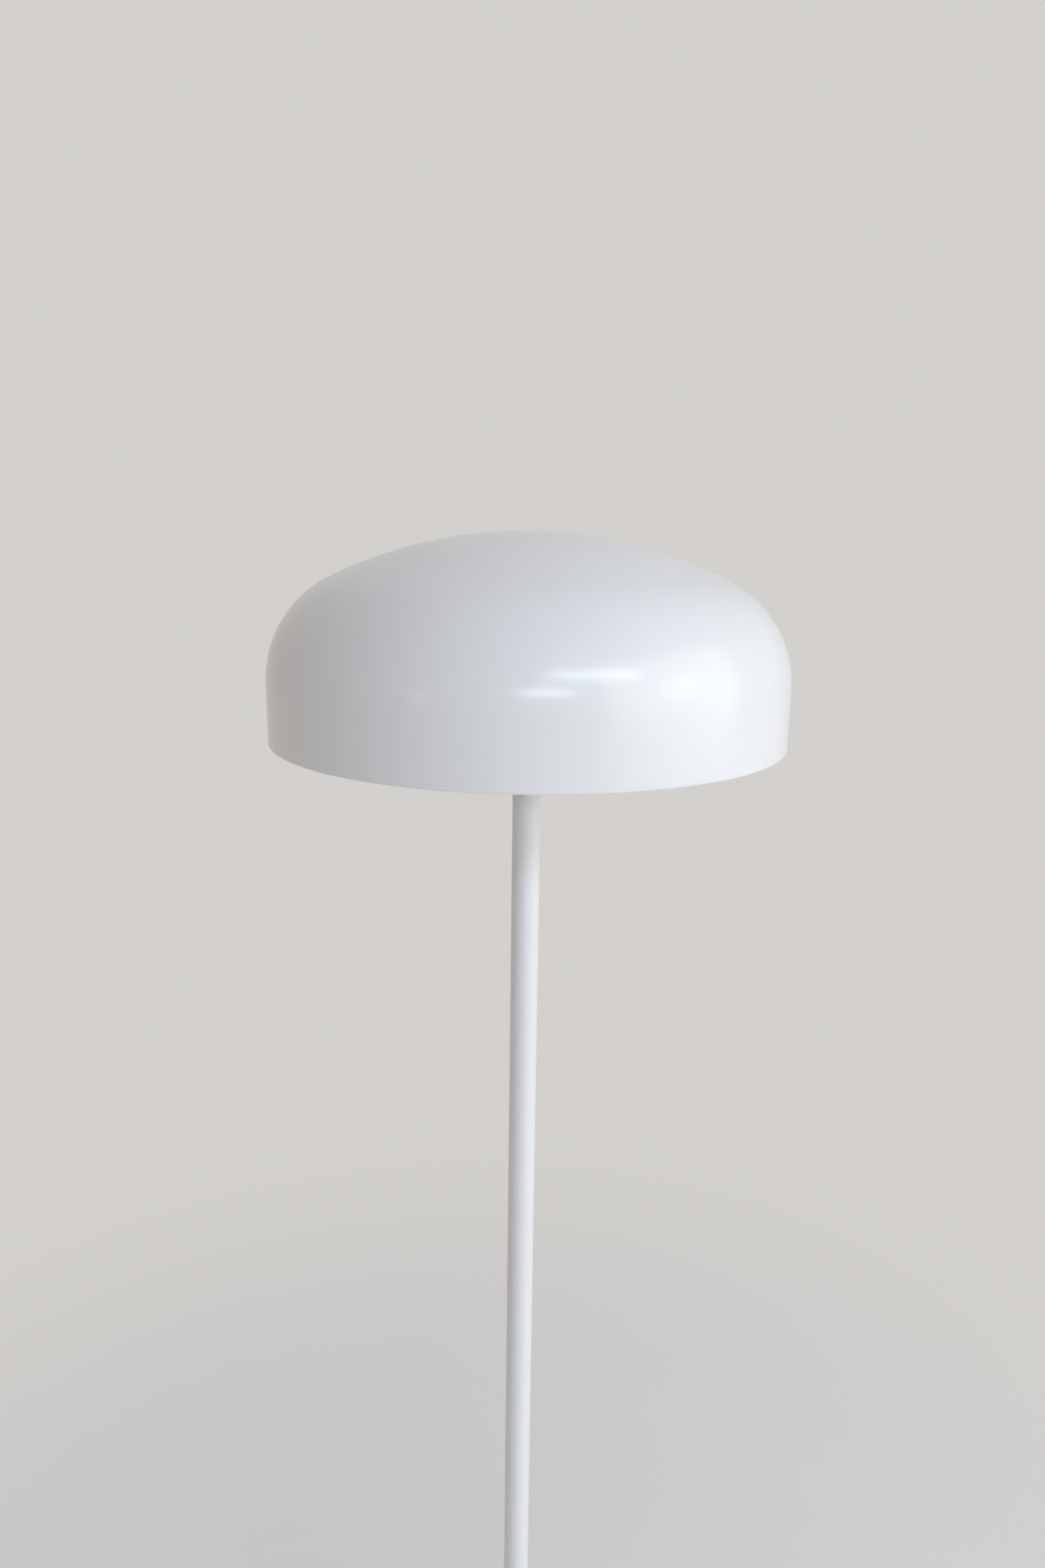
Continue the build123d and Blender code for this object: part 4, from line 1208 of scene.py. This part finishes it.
# %% [markdown]
# ## The bulb
# A plain sixty-millimetre globe: an opal dome on a flared white housing, with a fine seam between
# them. The housing's flare is one arc that starts straight up at the neck, so its centre lies level
# with the neck, and its radius follows from where it has to arrive.

# %% Turn the globe of the bulb
globe_low, globe_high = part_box("bulb_diffuser")
globe_radius = 30 * MM
globe_inside = globe_radius - 1.2 * MM
globe_centre = (0.0, globe_high.z - globe_radius)
below_centre = globe_low.z - globe_centre[1]
seam_turn = math.degrees(math.asin(below_centre / globe_radius))
inner_turn = math.degrees(math.asin(below_centre / globe_inside))
seam_radius = globe_radius * math.cos(math.radians(seam_turn))
globe_outline = [
    *arc(globe_centre, globe_inside, 90, inner_turn, steps=48),
    *arc(globe_centre, globe_radius, seam_turn, 90, steps=48),
]
for pole in (0, -1):
    globe_outline[pole] = (0.0, globe_outline[pole][1])
globe = turned("opal_globe", soften(globe_outline, 0.2 * MM, loop=False), loop=False)
stand_for(globe, "bulb_diffuser")

# %% Turn the neck of the bulb
neck_low, neck_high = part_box("bulb_housing")
bulb_neck_radius = 14 * MM
flare_out = seam_radius - bulb_neck_radius
flare_up = neck_high.z - neck_low.z
flare_radius = (flare_out**2 + flare_up**2) / (2 * flare_out)
flare_end = 180 - math.degrees(math.asin(flare_up / flare_radius))
flare_centre = (bulb_neck_radius + flare_radius, neck_low.z)
flare = arc(flare_centre, flare_radius, 180, flare_end, steps=24)
neck_outline = [(0.0, neck_low.z), *flare, (0.0, neck_high.z)]
neck = turned("bulb_neck", soften(neck_outline, 0.2 * MM, loop=False), loop=False)
stand_for(neck, "bulb_housing")

# %% [markdown]
# ## The spider
# A three-armed steel pressing carries the shade: a ring that the two shade rings clamp, three arms
# with turned-up edges that stiffen them, and at each end a tab turned down against the wall. The
# arm is a folded channel with real bend radii, drawn across and pulled out along X. The tab is a
# bent strip, curved to lie on the round wall. They overlap, so a union makes one body of them.

# %% Size the spider
spider_low, spider_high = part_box("shade_spider")
sheet = 1.5 * MM
arm_half = 8 * MM
arm_flange = 5 * MM
arm_start = 28.3 * MM
arm_count = 3
web_low = spider_high.z - arm_flange
wall_inside = dome_sizes["Radius"] - dome_sizes["Thickness"] - 0.05 * MM
print(f"three arms of {(wall_inside - arm_start) / MM:.0f} mm, {2 * arm_half / MM:.0f} mm wide")


# %% Fold one arm
def channel_outline(half, rise, thickness, bend=1.0 * MM):
    """Half the section of a channel on the positive side, then its mirror image."""
    centre = (half - thickness - bend, thickness + bend)
    outside = arc(centre, thickness + bend, -90, 0, steps=6)
    inside = arc(centre, bend, 0, -90, steps=6)
    right = [*outside, (half, rise), (half - thickness, rise), *inside]
    return right + [(-across, up) for across, up in reversed(right)]


def skinned(name, rows):
    """Joins rows of points, each a closed outline, into one closed body."""
    body = bmesh.new()
    rows = [[body.verts.new(point) for point in row] for row in rows]
    for one, two in zip(rows, rows[1:]):
        for corners in zip(one, one[1:] + one[:1], two[1:] + two[:1], two):
            body.faces.new(corners)
    body.faces.new(rows[0])
    body.faces.new(rows[-1])
    bmesh.ops.recalc_face_normals(body, faces=body.faces)
    return keep(name, body)


def tab_strip(half, drop, thickness, wall_radius, bend=1.5 * MM, corner=3 * MM, steps=32):
    """A strip that leaves the arm, bends down and lies on the round wall."""
    centre = (wall_radius - thickness - bend, -bend)
    over = arc(centre, thickness + bend, 90, 0, steps=8)
    under = arc(centre, bend, 0, 90, steps=8)
    root = centre[0] - MM
    rows = []
    for step in range(steps + 1):
        across = -half * math.cos(math.pi * step / steps)
        sag = wall_radius - math.sqrt(wall_radius**2 - across**2)
        into_corner = max(0.0, abs(across) - (half - corner))
        end = corner - math.sqrt(corner**2 - into_corner**2) - drop
        tip = [(wall_radius, end), (wall_radius - thickness, end)]
        side = [(root, thickness), *over, *tip, *under, (root, 0.0)]
        rows.append([(reach - sag, across, up) for reach, up in side])
    return skinned("tab", rows)


section = channel_outline(arm_half, arm_flange, sheet)
arm_end = wall_inside - 3 * MM
arm = skinned("arm", [[(reach, across, up) for across, up in section] for reach in (arm_start, arm_end)])
combine(arm, tab_strip(arm_half, web_low - spider_low.z, sheet, wall_inside), "UNION")
print(f"arm folded: {len(arm.data.polygons)} faces")

# %% Join arms and ring into the spider
stud_low, stud_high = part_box("shade_studs")
stud_height = (stud_low.z + stud_high.z) / 2
stud_hole = 2.3 * MM
lay_out = Matrix.Rotation(math.pi / 2, 4, "Y")
stud_hole_place = Matrix.Translation((0, 0, stud_height - web_low)) @ lay_out
hole = rod(stud_hole, wall_inside - 4 * MM, wall_inside + MM, place=stud_hole_place, steps=32)
combine(arm, hole, "DIFFERENCE")
arms = ring_of(arm, "arms", "shade_spider", arm_count, 0.0, web_low)
hub_bore = 20.3 * MM
hub_radius = 31 * MM
hub_outline = [
    (hub_bore, web_low),
    (hub_radius, web_low),
    (hub_radius, web_low + sheet),
    (hub_bore, web_low + sheet),
]
spider = turned("pressed_spider", soften(hub_outline, 0.2 * MM))
stand_for(combine(spider, arms, "UNION"), "shade_spider")

# %% [markdown]
# Each tab is held by a stud welded to the wall and a small nut. The stud lies along X before it is
# copied round, and so does the nut, which is turned down from its upright place.

# %% Make the studs and their nuts
stud_radius = 2 * MM
stud_length = 9 * MM
stud_pitch = 0.35 * MM
stud_groove = 0.3 * MM
stud_rows = 21
stud_ridges = [
    (stud_radius - (stud_groove if row % 2 else 0.0), stud_pitch * (row + 1)) for row in range(stud_rows)
]
stud_outline = [
    (0.0, 0.0),
    (stud_radius - 0.4 * MM, 0.0),
    *stud_ridges,
    (stud_radius, stud_length),
    (0.0, stud_length),
]
stud = turned("stud", stud_outline, loop=False, steps=32, place=lay_out)
stud_start = wall_inside - stud_length
studs = ring_of(stud, "weld_studs", "shade_studs", arm_count, stud_start, stud_height)
stand_for(studs, "shade_studs")

_, nut_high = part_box("shade_nuts")
nut_thickness = 3.2 * MM
nut = hex_nut("stud_nut", 7 * MM, nut_thickness, stud_radius)
nut.data.transform(lay_out @ Matrix.Rotation(math.pi / 6, 4, "Z"))
nut_start = nut_high.x - nut_thickness
stand_for(ring_of(nut, "stud_nuts", "shade_nuts", arm_count, nut_start, stud_height), "shade_nuts")

# %% [markdown]
# ## What stays as it came
# The weight, the inserts, the leads and the rest of the inner works have the right shape already.
# They keep their solids and only take their finish, on the object's own slot, so that the mesh
# stays untouched.

# %% Coat the remaining solids
carried = [solid for solid in frame["nodes"].values() if not solid.hide_render]
for solid in carried:
    for slot in solid.material_slots:
        slot.link = "OBJECT"
        slot.material = finishes[slot_of[solid.name]]
print(f"{len(carried)} solids carried over")

# %% [markdown]
# ## Floor and backdrop
# The lamp stands on a plain pale floor. Near the lamp the floor is a real surface, so that it
# takes shadows. Further out it changes into the plain backdrop colour, which the world shows too,
# so that no horizon line crosses the picture, from whichever side the lamp is seen.

# %% Lay the floor
backdrop_colour = (0.650, 0.632, 0.612, 1.0)
floor_colour = (0.85, 0.83, 0.81, 1.0)
floor_radius = 14.0
real_floor_end = 0.2
backdrop_start = 1.7


def seen_directly(tree):
    """1 for what the camera sees itself, in a mirror or through glass, and 0 for lighting."""
    rays = tree.nodes.new("ShaderNodeLightPath").outputs
    kinds = ("Camera", "Glossy", "Transmission")
    direct, mirrored, through = [Wire(rays[f"Is {kind} Ray"]) for kind in kinds]
    return (direct + mirrored + through).clamp(0.0, 1.0)


def floor_finish():
    values = {"Base_Color": floor_colour, "Roughness": 0.9, "Specular_IOR_Level": 0.1}
    material, tree, shader = new_finish("pale_floor", **values)
    across, deep, _ = add_node(tree, "ShaderNodeTexCoord", output="Object").split()
    plain = add_node(tree, "ShaderNodeEmission", {"Color": backdrop_colour})
    share = distance_out(across, deep).ramp(real_floor_end, backdrop_start) * seen_directly(tree)
    mixed = add_node(tree, "ShaderNodeMixShader", [share, Wire(shader.outputs[0]), plain])
    plug(tree.nodes["Material Output"].inputs["Surface"], mixed)
    return material


disc = bmesh.new()
bmesh.ops.create_circle(disc, cap_ends=True, radius=floor_radius, segments=96)
floor = keep("floor", disc)
floor.data.materials.append(floor_finish())
floor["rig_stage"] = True
print(f"floor {2 * floor_radius:.0f} m across")

# %% [markdown]
# ## Light
# The photograph was taken beside a large window: bright on the right of the dome, soft grey on its
# left, with two small reflections low on the shoulder. One large lamp would light the dome, but
# not draw those reflections. So each source was found by mirroring the camera's ray at the place
# where its reflection shows: a wide panel on the right is the main light, a small one in its middle
# makes its brightest spot, two slim ones in front give the two reflections, and a faint one far
# to the left gives the stem its dull edge.

# %% Hang the lights
panel_distance = 4.0


def soft_panel(name, azimuth, elevation, width, height, power, colour, lean=0.0):
    """A panel that faces the shade. Azimuth goes from the front towards the right, in degrees."""
    light = bpy.data.lights.new(name, "AREA")
    light.shape = "RECTANGLE"
    light.size, light.size_y = width, height
    light.energy = power
    light.color = colour
    panel = bpy.data.objects.new(name, light)
    turn, rise = math.radians(azimuth), math.radians(elevation)
    out = Vector((math.sin(turn) * math.cos(rise), -math.cos(turn) * math.cos(rise), math.sin(rise)))
    target = Vector((0, 0, shade_low.z))
    leaning = Matrix.Rotation(math.radians(lean), 4, "Z")
    facing = out.to_track_quat("Z", "Y").to_matrix().to_4x4() @ leaning
    panel.matrix_world = Matrix.Translation(target + out * panel_distance) @ facing
    panel.visible_camera = False
    scene.collection.objects.link(panel)


soft_panel("wide_window", 63, 13, 4.8, 3.4, power=87, colour=(1.0, 0.98, 0.92))
soft_panel("bright_pane", 64, 13, 1.3, 1.0, power=7, colour=(1.0, 1.0, 1.0))
soft_panel("high_window", 28, 28.5, 2.45, 0.4, power=33, colour=(0.52, 0.7, 1.0), lean=-6.5)
soft_panel("low_window", 7, 15.2, 1.3, 0.16, power=14, colour=(0.8, 0.92, 1.0))
soft_panel("far_pane", -43, 7, 0.4, 0.25, power=1.5, colour=(1.0, 0.95, 0.9))
print("five panels")

# %% [markdown]
# The room around the lamp also lights it, dimly. An even grey world would flatten the dome. This
# one is warm on the left and cool on the right, and brighter behind, above and high on the right in
# front, as a room with a window is. The camera sees the plain backdrop colour in its place.

# %% Fill the room
warm_side = (1.15, 0.7, 0.25)
cool_side = (1.0, 1.08, 1.25)
room_colour = (0.97, 1.0, 1.06, 1.0)
side_light, side_light_above = 0.12, 0.22
behind_light, above_light, front_light = 0.5, 0.25, 0.2
front_right, front_height = 0.4, 0.65


def room_world():
    world = bpy.data.worlds.new("room")
    world.use_nodes = True
    tree = world.node_tree
    tree.nodes.clear()
    across, deep, up = add_node(tree, "ShaderNodeTexCoord", output="Generated").split()
    tint = between(tree, across.ramp(-0.1, 0.1), warm_side, cool_side)
    above, behind = up.clamp(0.0, 1.0), deep.clamp(0.0, 1.0)
    side_level = across.math("ABSOLUTE") * (above * side_light_above + side_light)
    sides = add_node(tree, "ShaderNodeBackground", {"Color": tint, "Strength": side_level})
    front = (across * front_right + up * front_height - deep * front_height).clamp(0.0, 1.0)
    level = behind * behind_light + above * above_light + front * front_light
    rest = add_node(tree, "ShaderNodeBackground", {"Color": room_colour, "Strength": level})
    lighting = add_node(tree, "ShaderNodeAddShader", [sides, rest])
    backdrop = add_node(tree, "ShaderNodeBackground", {"Color": backdrop_colour})
    shown = add_node(tree, "ShaderNodeMixShader", [seen_directly(tree), lighting, backdrop])
    plug(tree.nodes.new("ShaderNodeOutputWorld").inputs["Surface"], shown)
    return world


scene.world = room_world()
print(f"world: {scene.world.name}")

# %% [markdown]
# ## The finished box
# The finished lamp has to fill the same box as the solids. Its box is measured here.

# %% Measure the finished lamp's box
low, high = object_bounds()
